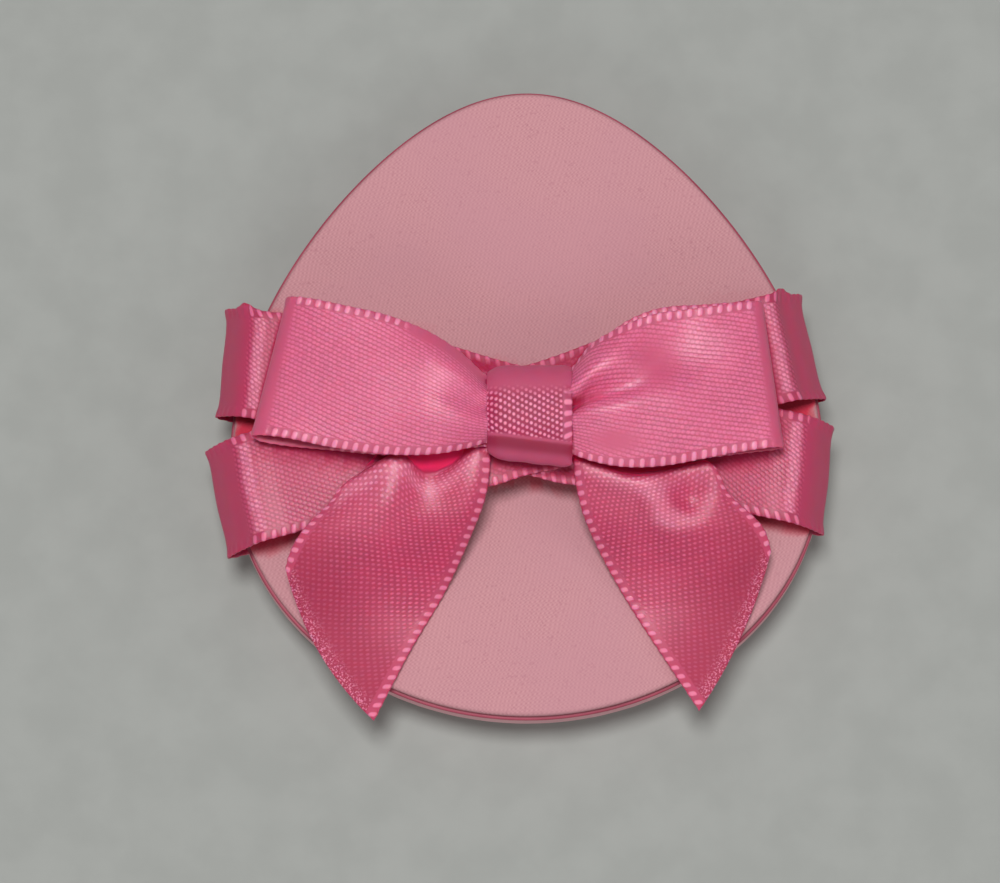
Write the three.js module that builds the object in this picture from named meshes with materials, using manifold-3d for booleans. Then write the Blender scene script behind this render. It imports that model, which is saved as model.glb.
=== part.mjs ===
// A cushion puff: an egg-shaped make-up applicator with two crossed finger bands and a satin bow.
// Sizes are millimetres and +Z is up. The flat applicator face lies on Z = 0, centred on the
// origin, and the narrow end of the egg points to +Y.
import * as THREE from "three";
import { mergeVertices } from "three/addons/utils/BufferGeometryUtils.js";
import Module from "manifold-3d";

const wasm = await Module();
wasm.setup();

// Gap kept between pieces that touch on the real puff, and how far a cutter runs past its cut
const seat = 0.3;
const overrun = 3;
const { lerp, clamp } = THREE.MathUtils;

// Egg outline, the same for every layer of the puff
const puffLength = 64;
const puffWidth = 59.6;
const eggWidestShare = 1.017;
const eggNarrowingShare = 0.2;
const eggBluntingShare = 0.067;
const eggSteps = 60;
const roundSteps = 4;

// Applicator skin: the cup of smooth film that touches the face
const skinInset = 0.4;
const skinWall = 0.8;
const skinFloor = 0.9;
const skinCorner = 2.6;
const skinBulge = 0.25;

// Layers inside the cup
const coreThickness = 4.6;
const sheetThickness = 0.4;

// Edge seam: the pressed rim that shows as a darker line
const seamThickness = 0.5;
const seamReach = 2.6;
const seamLip = 0.2;

// Back cover: woven cloth on a firm backing
const coverInset = 0.15;
const coverRim = 0.9;
const coverRound = 0.35;
const coverCrown = 0.5;

// Rows of the cover's crown: share of its rise, and share of the way out from the centre
const coverCrownShares = [
  [0.5, 1],
  [0.8, 0.7],
  [0.95, 0.35],
];

// How finely the ribbons are divided: between two stations, and across
const stationSteps = 4;
const bandAcrossSteps = 3;
const ribbonAcrossSteps = 8;
const wrapSteps = 28;

// Finger bands: two ribbons that cross over the middle and tuck in under the seam
const fingerGap = 4.7;
const bandWidth = 11;
const bandThickness = 0.4;
const bandTab = 4.2;
const bandFoldRadius = 0.55;
const bandSideInset = 0.35;
const bandCreaseInset = 1.7;
const bandCreaseRise = 2.6;
const bandCrossingY = -2.2;
const fallingSlopeShare = -0.196;
const risingSlopeShare = 0.268;
const bandSlopes = { falling: fallingSlopeShare, rising: risingSlopeShare };
const bandArchPower = 2.6;
const bandSpanShares = [0.86, 0.66, 0.44, 0.22];

// How far each fold reaches past the rim, at the band's lower edge and at its upper edge, and how
// far it is drawn in between them
const bandFoldReach = {
  falling: { left: [1.9, 4.1], right: [1.3, 1.4] },
  rising: { left: [2.3, 2.7], right: [1, 2.2] },
};
const bandFoldDraw = 0.6;

// Bow: one ribbon for both loops, a wrap round its pinched middle, and two tails
const ribbonWidth = 15;
const ribbonThickness = 0.4;
const bowX = 0.3;
const bowY = -2.2;
const knotWidth = 9;
const knotDepth = 9.8;
const knotDrop = 0.7;
const threadThickness = 0.3;
const threadWidth = 0.7;
const padLength = 7;
const padWidth = 6;
const padThickness = 0.3;
const padCorner = 1.2;
const wrapSquareShare = 0.35;
const loopHeight = 5.4;
const loopButtGap = 0.6;
const loopReach = { left: 26.5, right: 24.8 };
const leftLoopSlopeShare = 0.225;
const rightLoopSlopeShare = 0.19;
const rightFoldSlopeShare = -0.13;
const loopSlopes = { left: leftLoopSlopeShare, right: rightLoopSlopeShare };
const loopFoldSlopes = { left: 0, right: rightFoldSlopeShare };
const loopTurnShare = 0.3;
const leftSpreadPower = 1;
const rightSpreadPower = 0.6;
const loopSpreads = { left: leftSpreadPower, right: rightSpreadPower };

// One row for each station of a loop beyond the knot, from the back layer round the end fold to
// the front layer: along the loop, height, width, crown and pleat
const loopStationShares = [
  [0.15, -0.14, 0.7, 0, 0.03],
  [0.38, -0.27, 0.88, 0, 0.01],
  [0.7, -0.45, 0.97, 0, 0],
  [0.93, -0.583, 1, 0, 0],
  [1, -0.38, 1, 0, 0],
  [0.93, -0.176, 1, 0, 0],
  [0.7, 0.14, 0.97, 0.01, 0],
  [0.38, 0.36, 0.88, 0.04, 0.01],
  [0.22, 0.34, 0.78, 0.05, 0.03],
  [0.1, 0.22, 0.64, 0.04, 0.045],
];

// Tails: each lies on the band below it, falls off that band's lower edge and rests on the cover
const tailRootDip = 6.7;
const tailFall = 11;
const tailCrownShare = 0.03;
const tailBands = { left: "rising", right: "falling" };

// One row for each station of a tail, from its root line to its slanting cut. Each row has its
// inner edge and its outer edge, outward from the bow's middle and down from the root line, and
// how far the line from edge to edge bows towards the tip.
const tailStations = {
  left: [
    [4.2, 0, 16.5, 0, 0],
    [4.6, 2.3, 18.4, 1.5, 0],
    [6, 6.1, 20.6, 3.6, 0],
    [8.7, 11, 22.7, 5.7, 0.1],
    [12, 17, 23.8, 7, 0.4],
    [15.7, 23.2, 24.5, 7.7, 0.7],
  ],
  right: [
    [5, 0, 20.8, 0, 0],
    [5.8, 2.6, 21.6, 1.1, 0],
    [7.5, 6.6, 22.4, 2.6, 0.1],
    [10.2, 11.4, 23.1, 4, 0.4],
    [13.4, 17, 23.6, 5, 0.9],
    [16.9, 22.7, 23.8, 5.6, 1.3],
  ],
};

// Heights of the layers, each one seated on the layer below it
const coreBottom = skinFloor + seat;
const coreTop = coreBottom + coreThickness;
const sheetBottom = coreTop + seat;
const sheetTop = sheetBottom + sheetThickness;
const tabMiddle = sheetTop + seat + bandThickness / 2;
const tabTop = tabMiddle + bandThickness / 2;
const skinTop = tabTop;
const seamBottom = skinTop + seat;
const seamTop = seamBottom + seamThickness;
const coverBottom = seamTop + seat;
const coverEdge = coverBottom + coverRim;
const coverTop = coverEdge + coverCrown;

// Heights of the bands and the bow above them
const bandLift = { falling: 0, rising: bandThickness + seat };
const bandCrest = coverTop + fingerGap + bandThickness / 2;
const bandCrease = coverEdge + bandCreaseRise;
const padBottom = bandCrest + bandLift.rising + bandThickness / 2 + seat;
const knotBottom = padBottom + padThickness + seat;
const knotShell = ribbonThickness + seat + threadThickness + seat;
const knotHeight = knotShell * 2 + ribbonThickness * 2 + seat;
const pinchHeight = knotBottom + knotHeight / 2;
const knotY = bowY - knotDrop;
const pinchWidth = knotDepth - knotShell * 2;

const skinPink = new THREE.MeshStandardMaterial({ color: 0xf1c6cc, roughness: 0.75, metalness: 0 });
const foamPink = new THREE.MeshStandardMaterial({ color: 0xf6dcdf, roughness: 0.95, metalness: 0 });
const bondWhite = new THREE.MeshStandardMaterial({ color: 0xf0e4e0, roughness: 0.6, metalness: 0 });
const seamRose = new THREE.MeshStandardMaterial({ color: 0xb9637a, roughness: 0.6, metalness: 0 });
const coverPink = new THREE.MeshStandardMaterial({ color: 0xe9b9c1, roughness: 0.85, metalness: 0 });
const satinPink = new THREE.MeshStandardMaterial({ color: 0xe0649a, roughness: 0.38, metalness: 0 });
const threadPink = new THREE.MeshStandardMaterial({ color: 0xcf5288, roughness: 0.7, metalness: 0 });
const glueClear = new THREE.MeshStandardMaterial({ color: 0xe8e2d6, roughness: 0.4, metalness: 0 });

// Which way is outward along X, on the left and on the right
function sideOf(name) {
  return name === "left" ? -1 : 1;
}

// A point of the egg outline in plan, for a turn from the narrow end, clockwise
function eggOutline(turn) {
  const lean = 1 - eggNarrowingShare * Math.cos(turn) - eggBluntingShare * Math.cos(turn) ** 2;
  const halfWidth = puffWidth / 2 / eggWidestShare;
  return new THREE.Vector2(halfWidth * Math.sin(turn) * lean, (puffLength / 2) * Math.cos(turn));
}

// The outline's point moved square to the outline by an inset, then drawn in to the centre
function eggPoint(turn, inset, share) {
  const nearby = Math.PI / 1000;
  const along = eggOutline(turn + nearby).sub(eggOutline(turn - nearby)).normalize();
  const outward = new THREE.Vector2(-along.y, along.x);
  return eggOutline(turn).addScaledVector(outward, -inset).multiplyScalar(share);
}

// A solid swept round the egg, as a lathe would turn it: each point of the profile has an inset
// from the outline, a height, and a share of the way out that is 0 at the centre
function eggSweep(profile, isRing) {
  const positions = [];
  for (let step = 0; step < eggSteps; step++) {
    for (const { inset, z, share = 1 } of profile) {
      const point = eggPoint((2 * Math.PI * step) / eggSteps, inset, share);
      positions.push(point.x, point.y, z);
    }
  }
  const rows = isRing ? profile.length : profile.length - 1;
  const index = [];
  for (let step = 0; step < eggSteps; step++) {
    const here = step * profile.length;
    const next = ((step + 1) % eggSteps) * profile.length;
    for (let row = 0; row < rows; row++) {
      const after = (row + 1) % profile.length;
      if (profile[row].share !== 0) index.push(here + row, next + after, next + row);
      if (profile[after].share !== 0) index.push(here + row, here + after, next + after);
    }
  }
  return closedGeometry(positions, index);
}

function closedGeometry(positions, index) {
  const geometry = new THREE.BufferGeometry();
  geometry.setAttribute("position", new THREE.Float32BufferAttribute(positions, 3));
  geometry.setIndex(index);
  return mergeVertices(geometry);
}

// Points of a quarter round in a profile, from the flat below it up to the wall outside it
function quarterRound(inset, bottom, radius, isInner) {
  const points = [];
  for (let step = 0; step <= roundSteps; step++) {
    const angle = (Math.PI / 2) * (isInner ? 1 - step / roundSteps : step / roundSteps);
    points.push({
      inset: inset + radius * (1 - Math.sin(angle)),
      z: bottom + radius * (1 - Math.cos(angle)),
    });
  }
  return points;
}

function toManifold(geometry) {
  const bare = geometry.clone();
  bare.deleteAttribute("normal");
  bare.deleteAttribute("uv");
  const merged = mergeVertices(bare);
  return new wasm.Manifold(new wasm.Mesh({
    numProp: 3,
    vertProperties: new Float32Array(merged.attributes.position.array),
    triVerts: new Uint32Array(merged.index.array),
  }));
}

function carve(geometry, cutters) {
  let solid = toManifold(geometry);
  for (const cutter of cutters) {
    solid = solid.subtract(toManifold(cutter));
  }
  const mesh = solid.getMesh();
  return closedGeometry([...mesh.vertProperties], [...mesh.triVerts]);
}

// A ribbon of one thickness on a surface, which is a function of the share along the ribbon and
// the share across it, from -0.5 to 0.5. A looped ribbon joins on to its own start.
function ribbonSolid({ surface, thickness, along, across, isLooped = false }) {
  const columns = isLooped ? along : along + 1;
  const rows = across + 1;
  const middle = [];
  for (let i = 0; i < columns; i++) {
    for (let j = 0; j < rows; j++) {
      middle.push(surface(i / along, j / across - 0.5));
    }
  }
  const at = (i, j) => {
    const column = isLooped ? (i + columns) % columns : clamp(i, 0, columns - 1);
    return middle[column * rows + clamp(j, 0, rows - 1)];
  };
  const positions = [];
  for (const face of [1, -1]) {
    for (let i = 0; i < columns; i++) {
      for (let j = 0; j < rows; j++) {
        const lengthwise = at(i + 1, j).clone().sub(at(i - 1, j));
        const crosswise = at(i, j + 1).clone().sub(at(i, j - 1));
        const normal = lengthwise.cross(crosswise).normalize();
        positions.push(...at(i, j).clone().addScaledVector(normal, (face * thickness) / 2));
      }
    }
  }
  const corner = (i, j, layer) => layer * columns * rows + (i % columns) * rows + j;
  const index = [];
  const quad = (a, b, c, d) => index.push(a, b, c, a, c, d);
  for (let i = 0; i < along; i++) {
    for (let j = 0; j < across; j++) {
      quad(corner(i, j, 0), corner(i + 1, j, 0), corner(i + 1, j + 1, 0), corner(i, j + 1, 0));
      quad(corner(i, j, 1), corner(i, j + 1, 1), corner(i + 1, j + 1, 1), corner(i + 1, j, 1));
    }
    quad(corner(i, 0, 0), corner(i, 0, 1), corner(i + 1, 0, 1), corner(i + 1, 0, 0));
    quad(corner(i, across, 0), corner(i + 1, across, 0), corner(i + 1, across, 1), corner(i, across, 1));
  }
  for (let j = 0; j < across && !isLooped; j++) {
    quad(corner(0, j, 0), corner(0, j + 1, 0), corner(0, j + 1, 1), corner(0, j, 1));
    quad(corner(along, j, 0), corner(along, j, 1), corner(along, j + 1, 1), corner(along, j + 1, 0));
  }
  return closedGeometry(positions, index);
}

// A flat pad with round upright edges, under the middle of the bow
function padGeometry() {
  const [x, y] = [padLength / 2 - padCorner, padWidth / 2 - padCorner];
  const outline = new THREE.Shape();
  outline.absarc(x, -y, padCorner, -Math.PI / 2, 0);
  outline.absarc(x, y, padCorner, 0, Math.PI / 2);
  outline.absarc(-x, y, padCorner, Math.PI / 2, Math.PI);
  outline.absarc(-x, -y, padCorner, Math.PI, 1.5 * Math.PI);
  const upright = { depth: padThickness, bevelEnabled: false, curveSegments: 6 };
  const pad = new THREE.ExtrudeGeometry(outline, upright);
  pad.deleteAttribute("normal");
  pad.deleteAttribute("uv");
  return mergeVertices(pad).translate(bowX, bowY, padBottom);
}

function skinGeometry() {
  const innerWall = skinInset + skinWall;
  const profile = [
    { inset: 0, z: 0, share: 0 },
    ...quarterRound(skinInset, 0, skinCorner, false),
    { inset: skinInset - skinBulge, z: (skinCorner + skinTop) / 2 },
    { inset: skinInset, z: skinTop },
    { inset: innerWall, z: skinTop },
    ...quarterRound(innerWall, skinFloor, skinCorner - skinWall, true),
    { inset: 0, z: skinFloor, share: 0 },
  ];
  const notchFloor = tabMiddle - bandThickness / 2 - seat;
  return carve(eggSweep(profile, false), tabCutters(notchFloor, skinTop + overrun));
}

function coreGeometry() {
  const inset = skinInset + skinWall + seat;
  return eggSweep([
    { inset: 0, z: coreBottom, share: 0 },
    ...quarterRound(inset, coreBottom, skinCorner - skinWall - seat, false),
    { inset, z: coreTop },
    { inset: 0, z: coreTop, share: 0 },
  ], false);
}

function sheetGeometry() {
  const inset = skinInset + skinWall + seat;
  return eggSweep([
    { inset: 0, z: sheetBottom, share: 0 },
    { inset, z: sheetBottom },
    { inset, z: sheetTop },
    { inset: 0, z: sheetTop, share: 0 },
  ], false);
}

function seamGeometry() {
  const bead = seamThickness / 2;
  const middle = seamBottom + bead;
  const profile = [{ inset: seamReach, z: seamBottom }];
  for (let step = 0; step <= roundSteps; step++) {
    const angle = Math.PI * (step / roundSteps) - Math.PI / 2;
    profile.push({ inset: bead - seamLip - bead * Math.cos(angle), z: middle + bead * Math.sin(angle) });
  }
  profile.push({ inset: seamReach, z: seamTop });
  return eggSweep(profile, true);
}

// The cover's firm middle comes down inside the seam to the bonding sheet, with a pocket pressed
// in it for each band's tab
function coverGeometry() {
  const middleInset = seamReach + seat;
  const bottom = sheetTop + seat;
  const roundShare = 1 - Math.SQRT1_2;
  const crown = coverCrownShares.map(([rise, share]) => (
    { inset: middleInset * 2, z: coverEdge + coverCrown * rise, share }
  ));
  const profile = [
    { inset: 0, z: bottom, share: 0 },
    { inset: middleInset, z: bottom },
    { inset: middleInset, z: coverBottom },
    { inset: coverInset + coverRound / 2, z: coverBottom },
    { inset: coverInset, z: coverBottom + coverRound / 2 },
    { inset: coverInset, z: coverEdge - coverRound },
    { inset: coverInset + coverRound * roundShare, z: coverEdge - coverRound * roundShare },
    { inset: coverInset + coverRound, z: coverEdge },
    ...crown,
    { inset: 0, z: coverTop, share: 0 },
  ];
  return carve(eggSweep(profile, false), tabCutters(bottom - overrun, tabTop + seat));
}

// How high above or below the crossing a band's line runs at x, for a share across the band
function bandY(name, x, share) {
  const slope = bandSlopes[name];
  return bandCrossingY + slope * x + share * bandWidth * Math.hypot(1, slope);
}

// Where a band's line meets the rim, on the side given as -1 or 1
function rimCrossing(name, share, side) {
  let [above, below] = [0, Math.PI];
  const halvingSteps = 40;
  for (let i = 0; i < halvingSteps; i++) {
    const turn = (above + below) / 2;
    const rim = eggOutline(turn);
    if (rim.y > bandY(name, side * rim.x, share)) above = turn;
    else below = turn;
  }
  return side * eggOutline(above).x;
}

function tabCutter(name, side, bottom, top) {
  const reach = 1 / 2 + seat / bandWidth;
  const corners = [];
  for (const share of [-reach, reach]) {
    const rim = rimCrossing(name, share, side);
    const ends = [rim - side * (bandTab + seat), rim + side * overrun];
    if (share > 0) ends.reverse();
    for (const x of ends) {
      corners.push(new THREE.Vector2(x, bandY(name, x, share)));
    }
  }
  const upright = { depth: top - bottom, bevelEnabled: false };
  return new THREE.ExtrudeGeometry(new THREE.Shape(corners), upright).translate(0, 0, bottom);
}

function tabCutters(bottom, top) {
  const cutters = [];
  for (const name of Object.keys(bandSlopes)) {
    for (const side of [-1, 1]) {
      cutters.push(tabCutter(name, side, bottom, top));
    }
  }
  return cutters;
}

// Height of a band's middle surface between its creases
function bandArch(name, x) {
  const share = Math.abs(x) / (puffWidth / 2);
  return bandCrest + bandLift[name] - (bandCrest - bandCrease) * share ** bandArchPower;
}

// How far a band's fold reaches past the rim
function foldReach(name, share, side) {
  const [lower, upper] = bandFoldReach[name][side < 0 ? "left" : "right"];
  return lerp(lower, upper, share + 0.5) - bandFoldDraw * (1 - 4 * share * share);
}

// One line along a band: in from the tab's end, out past the rim, up the side and over the middle
function bandLine(name, share) {
  const halves = [-1, 1].map((side) => {
    const rim = rimCrossing(name, share, side);
    const fold = foldReach(name, share, side);
    const crease = rim + side * (fold - bandCreaseInset);
    const out = (reach, z) => new THREE.Vector3(rim + side * reach, 0, z);
    const onArch = (x) => new THREE.Vector3(x, 0, bandArch(name, x));
    return [
      out(-bandTab, tabMiddle),
      out(0, tabMiddle),
      out(fold - bandFoldRadius, tabMiddle),
      out(fold, tabMiddle + bandFoldRadius),
      out(fold - bandSideInset, (tabMiddle + bandFoldRadius + bandCrease) / 2),
      onArch(crease),
      ...bandSpanShares.map((s) => onArch(crease * s)),
    ];
  });
  const points = [...halves[0], new THREE.Vector3(0, 0, bandArch(name, 0)), ...halves[1].reverse()];
  for (const point of points) {
    point.y = bandY(name, point.x, share);
  }
  return new THREE.CatmullRomCurve3(points);
}

function bandGeometry(name) {
  const lines = [];
  for (let j = 0; j <= bandAcrossSteps; j++) {
    lines.push(bandLine(name, j / bandAcrossSteps - 0.5));
  }
  const surface = (u, v) => lines[Math.round((v + 0.5) * bandAcrossSteps)].getPoint(u);
  const along = (lines[0].points.length - 1) * stationSteps;
  return ribbonSolid({ surface, thickness: bandThickness, along, across: bandAcrossSteps });
}

// A ribbon through stations, each with a centre, a vector across it, and how far the ribbon's
// middle bulges (crown) and waves (pleat) from the flat
function stationSurface(stations) {
  const centres = new THREE.CatmullRomCurve3(stations.map((s) => s.centre));
  const acrosses = new THREE.CatmullRomCurve3(stations.map((s) => s.across));
  const swells = new THREE.CatmullRomCurve3(stations.map((s) => new THREE.Vector3(s.crown, s.pleat, 0)));
  return (u, v) => {
    const across = acrosses.getPoint(u);
    const swell = swells.getPoint(u);
    const lift = swell.x * (1 - 4 * v * v) + swell.y * Math.cos(4 * Math.PI * v);
    return centres.getPoint(u).addScaledVector(across, v).add(new THREE.Vector3(0, 0, lift));
  };
}

// The stations of one loop, straight through the back of the knot, out to the end fold and back
// through the front of the knot. Beyond the knot, which sits a little low, the loop turns to its
// own heading.
function loopStations(name) {
  const side = sideOf(name);
  const heading = Math.atan(loopSlopes[name]);
  const foldLean = Math.atan(loopFoldSlopes[name]);
  const knotEdge = knotWidth / 2 + seat;
  const layer = (ribbonThickness + seat) / 2;
  const inKnot = (along, height) => ({
    centre: new THREE.Vector3(bowX + side * along, knotY, pinchHeight + height),
    across: new THREE.Vector3(0, pinchWidth, 0),
    crown: 0,
    pleat: 0,
  });
  const out = new THREE.Vector3(side * Math.cos(heading), Math.sin(heading), 0);
  const beyond = loopStationShares.map(([along, height, width, crown, pleat]) => {
    const lean = side * (heading * Math.min(1, along / loopTurnShare) + foldLean * along);
    const across = new THREE.Vector3(-Math.sin(lean), Math.cos(lean), 0);
    const { centre } = inKnot(knotEdge, height * loopHeight);
    centre.y += knotDrop * Math.min(1, along / loopTurnShare);
    return {
      centre: centre.addScaledVector(out, along * (loopReach[name] - knotEdge)),
      across: across.multiplyScalar(width ** loopSpreads[name] * ribbonWidth),
      crown: crown * ribbonWidth,
      pleat: pleat * ribbonWidth,
    };
  });
  return [
    inKnot(loopButtGap / 2, -layer),
    inKnot(knotEdge, -layer),
    ...beyond,
    inKnot(knotEdge, layer),
    inKnot(loopButtGap / 2, layer),
  ];
}

function loopsGeometry() {
  const stations = [...loopStations("left"), ...loopStations("right").reverse()];
  return ribbonSolid({
    surface: stationSurface(stations),
    thickness: ribbonThickness,
    along: (stations.length - 1) * stationSteps,
    across: ribbonAcrossSteps,
  });
}

// A ribbon or thread closed on itself round the bow's middle, its rounded ring lying in YZ
function wrapGeometry(depth, height, thickness, width) {
  const surface = (u, v) => {
    const angle = 2 * Math.PI * u;
    const [y, z] = [Math.cos(angle), Math.sin(angle)];
    return new THREE.Vector3(
      bowX + v * width,
      knotY + Math.sign(y) * Math.abs(y) ** wrapSquareShare * ((depth - thickness) / 2),
      pinchHeight + Math.sign(z) * Math.abs(z) ** wrapSquareShare * ((height - thickness) / 2),
    );
  };
  return ribbonSolid({ surface, thickness, along: wrapSteps, across: 2, isLooped: true });
}

function knotGeometry() {
  return wrapGeometry(knotDepth, knotHeight, ribbonThickness, knotWidth);
}

function threadGeometry() {
  const smaller = (ribbonThickness + seat) * 2;
  return wrapGeometry(knotDepth - smaller, knotHeight - smaller, threadThickness, threadWidth);
}

// Height of a tail's middle surface: on its band, then falling from the band's edge to the cover
function tailHeight(name, x, y) {
  const band = tailBands[name];
  const rest = coverTop + seat + ribbonThickness / 2;
  const onBand = bandArch(band, x) + bandThickness / 2 + seat + ribbonThickness / 2;
  const past = clamp((bandY(band, x, -0.5) - y) / tailFall, 0, 1);
  return lerp(rest, onBand, (1 + Math.cos(Math.PI * past)) / 2);
}

function tailGeometry(name) {
  const side = sideOf(name);
  const rows = tailStations[name];
  const crown = ribbonWidth * tailCrownShare;
  const stations = rows.map(([innerOut, innerDown, outerOut, outerDown], row) => {
    const inner = new THREE.Vector3(bowX + side * innerOut, bowY - tailRootDip - innerDown, 0);
    const outer = new THREE.Vector3(bowX + side * outerOut, bowY - tailRootDip - outerDown, 0);
    const centre = inner.clone().lerp(outer, 0.5);
    return { centre, across: outer.sub(inner), crown: row > 0 ? crown : 0, pleat: 0 };
  });
  const bows = new THREE.CatmullRomCurve3(rows.map((row) => new THREE.Vector3(row[4], 0, 0)));
  const flat = stationSurface(stations);
  const surface = (u, v) => {
    const point = flat(u, v);
    const along = flat(u, 0.5).sub(flat(u, -0.5)).setZ(0).normalize();
    const towardsTip = new THREE.Vector3(side * along.y, -side * along.x, 0);
    point.addScaledVector(towardsTip, bows.getPoint(u).x * (1 - 4 * v * v));
    point.z += tailHeight(name, point.x, point.y);
    return point;
  };
  const along = (stations.length - 1) * stationSteps;
  return ribbonSolid({ surface, thickness: ribbonThickness, along, across: ribbonAcrossSteps });
}

const puff = new THREE.Group();

// Adds a sub-part, turning its faces over where a mirrored table has left them facing in
function addPiece(name, geometry, material) {
  const { array } = geometry.attributes.position;
  const corners = geometry.index.array;
  const [a, b, c] = [new THREE.Vector3(), new THREE.Vector3(), new THREE.Vector3()];
  let volume = 0;
  for (let i = 0; i < corners.length; i += 3) {
    a.fromArray(array, corners[i] * 3);
    b.fromArray(array, corners[i + 1] * 3);
    c.fromArray(array, corners[i + 2] * 3);
    volume += a.dot(b.cross(c));
  }
  if (volume < 0) corners.reverse();
  geometry.computeVertexNormals();
  const mesh = new THREE.Mesh(geometry, material);
  mesh.name = name;
  puff.add(mesh);
}

addPiece("applicator_skin", skinGeometry(), skinPink);
addPiece("foam_core", coreGeometry(), foamPink);
addPiece("bonding_sheet", sheetGeometry(), bondWhite);
addPiece("edge_seam", seamGeometry(), seamRose);
addPiece("back_cover", coverGeometry(), coverPink);
addPiece("finger_band_falling", bandGeometry("falling"), satinPink);
addPiece("finger_band_rising", bandGeometry("rising"), satinPink);
addPiece("bow_loops", loopsGeometry(), satinPink);
addPiece("knot_wrap", knotGeometry(), satinPink);
addPiece("gather_thread", threadGeometry(), threadPink);
addPiece("bow_glue_pad", padGeometry(), glueClear);
addPiece("bow_tail_left", tailGeometry("left"), satinPink);
addPiece("bow_tail_right", tailGeometry("right"), satinPink);

export default puff;
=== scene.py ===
import math

import bmesh
import bpy
import numpy as np
from mathutils import Matrix, Vector
from mathutils.bvhtree import BVHTree


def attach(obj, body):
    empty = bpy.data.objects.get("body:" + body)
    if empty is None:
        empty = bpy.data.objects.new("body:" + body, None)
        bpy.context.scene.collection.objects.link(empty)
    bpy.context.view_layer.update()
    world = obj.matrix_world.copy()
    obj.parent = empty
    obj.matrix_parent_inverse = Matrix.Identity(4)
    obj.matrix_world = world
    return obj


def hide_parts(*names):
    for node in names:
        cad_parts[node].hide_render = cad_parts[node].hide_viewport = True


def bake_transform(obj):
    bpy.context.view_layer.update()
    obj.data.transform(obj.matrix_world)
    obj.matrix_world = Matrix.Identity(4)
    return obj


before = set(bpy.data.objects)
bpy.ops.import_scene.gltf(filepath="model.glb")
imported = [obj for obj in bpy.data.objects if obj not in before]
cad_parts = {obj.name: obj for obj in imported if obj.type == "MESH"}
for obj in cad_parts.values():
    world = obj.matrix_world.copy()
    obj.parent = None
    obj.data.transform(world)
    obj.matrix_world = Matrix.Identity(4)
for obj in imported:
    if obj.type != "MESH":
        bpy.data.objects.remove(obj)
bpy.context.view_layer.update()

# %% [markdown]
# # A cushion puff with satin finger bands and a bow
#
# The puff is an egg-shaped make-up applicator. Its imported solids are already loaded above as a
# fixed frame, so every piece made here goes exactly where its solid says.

MM = 0.001

# %% [markdown]
# ## Camera
#
# The picture is taken from almost straight above, leaning a little towards the wide end of the
# egg. A long lens far away keeps the puff's outline true. The shift slides the frame so that the
# puff sits a little left of the middle and high, without turning the camera.

# %% Camera
CAMERA_TILT = math.radians(9.5)
CAMERA_DISTANCE = 350 * MM
CAMERA_LENS = 124.74
CAMERA_SENSOR = 36
CAMERA_SHIFT = (-0.027, -0.0415)
CAMERA_NEAREST = 10 * MM
AIM = Vector((0, 0, 9.2 * MM))

camera_data = bpy.data.cameras.new("overhead_camera")
camera_data.lens = CAMERA_LENS
camera_data.sensor_width = CAMERA_SENSOR
camera_data.shift_x, camera_data.shift_y = CAMERA_SHIFT
camera_data.clip_start = CAMERA_NEAREST
camera = bpy.data.objects.new("overhead_camera", camera_data)
bpy.context.scene.collection.objects.link(camera)
camera.rotation_euler = (CAMERA_TILT, 0, 0)
away = Vector((0, -math.sin(CAMERA_TILT), math.cos(CAMERA_TILT)))
camera.location = AIM + away * CAMERA_DISTANCE
bpy.context.scene.camera = camera
print("camera at", [round(v, 4) for v in camera.location])

# %% [markdown]
# ## Light
#
# The puff is lit from almost overhead, so its shadows are narrow and lie close under the ribbons,
# and flat satin is brighter than satin that leans away. One round panel above does most of the
# work, two weak ones in front and on the right reach under the bow and light its slopes, and an
# even world fills the rest. Together they are just bright enough that a colour renders about as
# written.

# %% Lamps and world
# place and width in metres, and watts
LAMPS = {
    "overhead_panel": ((-0.04, 0.07, 0.74), 0.2, 3.85),
    "front_panel": ((-0.06, -0.42, 0.38), 0.30, 0.5),
    "side_panel": ((0.45, -0.10, 0.40), 0.30, 0.3),
}
WORLD_LIGHT = 0.2


def add_panel(name, place, size, watts):
    """A round lamp that faces the puff; place and size are in metres."""
    panel = bpy.data.lights.new(name, "AREA")
    panel.shape = "DISK"
    panel.size = size
    panel.energy = watts
    lamp = bpy.data.objects.new(name, panel)
    bpy.context.scene.collection.objects.link(lamp)
    lamp.location = place
    lamp.rotation_euler = (AIM - Vector(place)).to_track_quat("-Z", "Y").to_euler()


for lamp_name, (lamp_place, lamp_width, lamp_watts) in LAMPS.items():
    add_panel(lamp_name, lamp_place, lamp_width, lamp_watts)

world = bpy.data.worlds.new("studio")
bpy.context.scene.world = world
world.use_nodes = True
background = world.node_tree.nodes["Background"]
background.inputs["Color"].default_value = (1, 1, 1, 1)
background.inputs["Strength"].default_value = WORLD_LIGHT
bpy.context.scene.view_settings.view_transform = "Standard"

# %% [markdown]
# ## The egg outline
#
# Every layer of the puff has the same outline, drawn in or out a little. The outline is a circle
# whose width leans towards one end: the narrow end points along +Y. We repeat the frame's own
# formula and sizes, in millimetres, so that the dressed layers sit on the solids.

# %% Egg outline
PUFF_LENGTH = 64
PUFF_WIDTH = 59.6
EGG_WIDEST = 1.017
EGG_NARROWING = 0.2
EGG_BLUNTING = 0.067


def egg_outline(turn):
    """Points of the outline for an array of turns from the narrow end, clockwise."""
    turn = np.asarray(turn, float)
    lean = 1 - EGG_NARROWING * np.cos(turn) - EGG_BLUNTING * np.cos(turn) ** 2
    half_width = PUFF_WIDTH / 2 / EGG_WIDEST
    return np.stack([half_width * np.sin(turn) * lean, PUFF_LENGTH / 2 * np.cos(turn)], -1)


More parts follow.
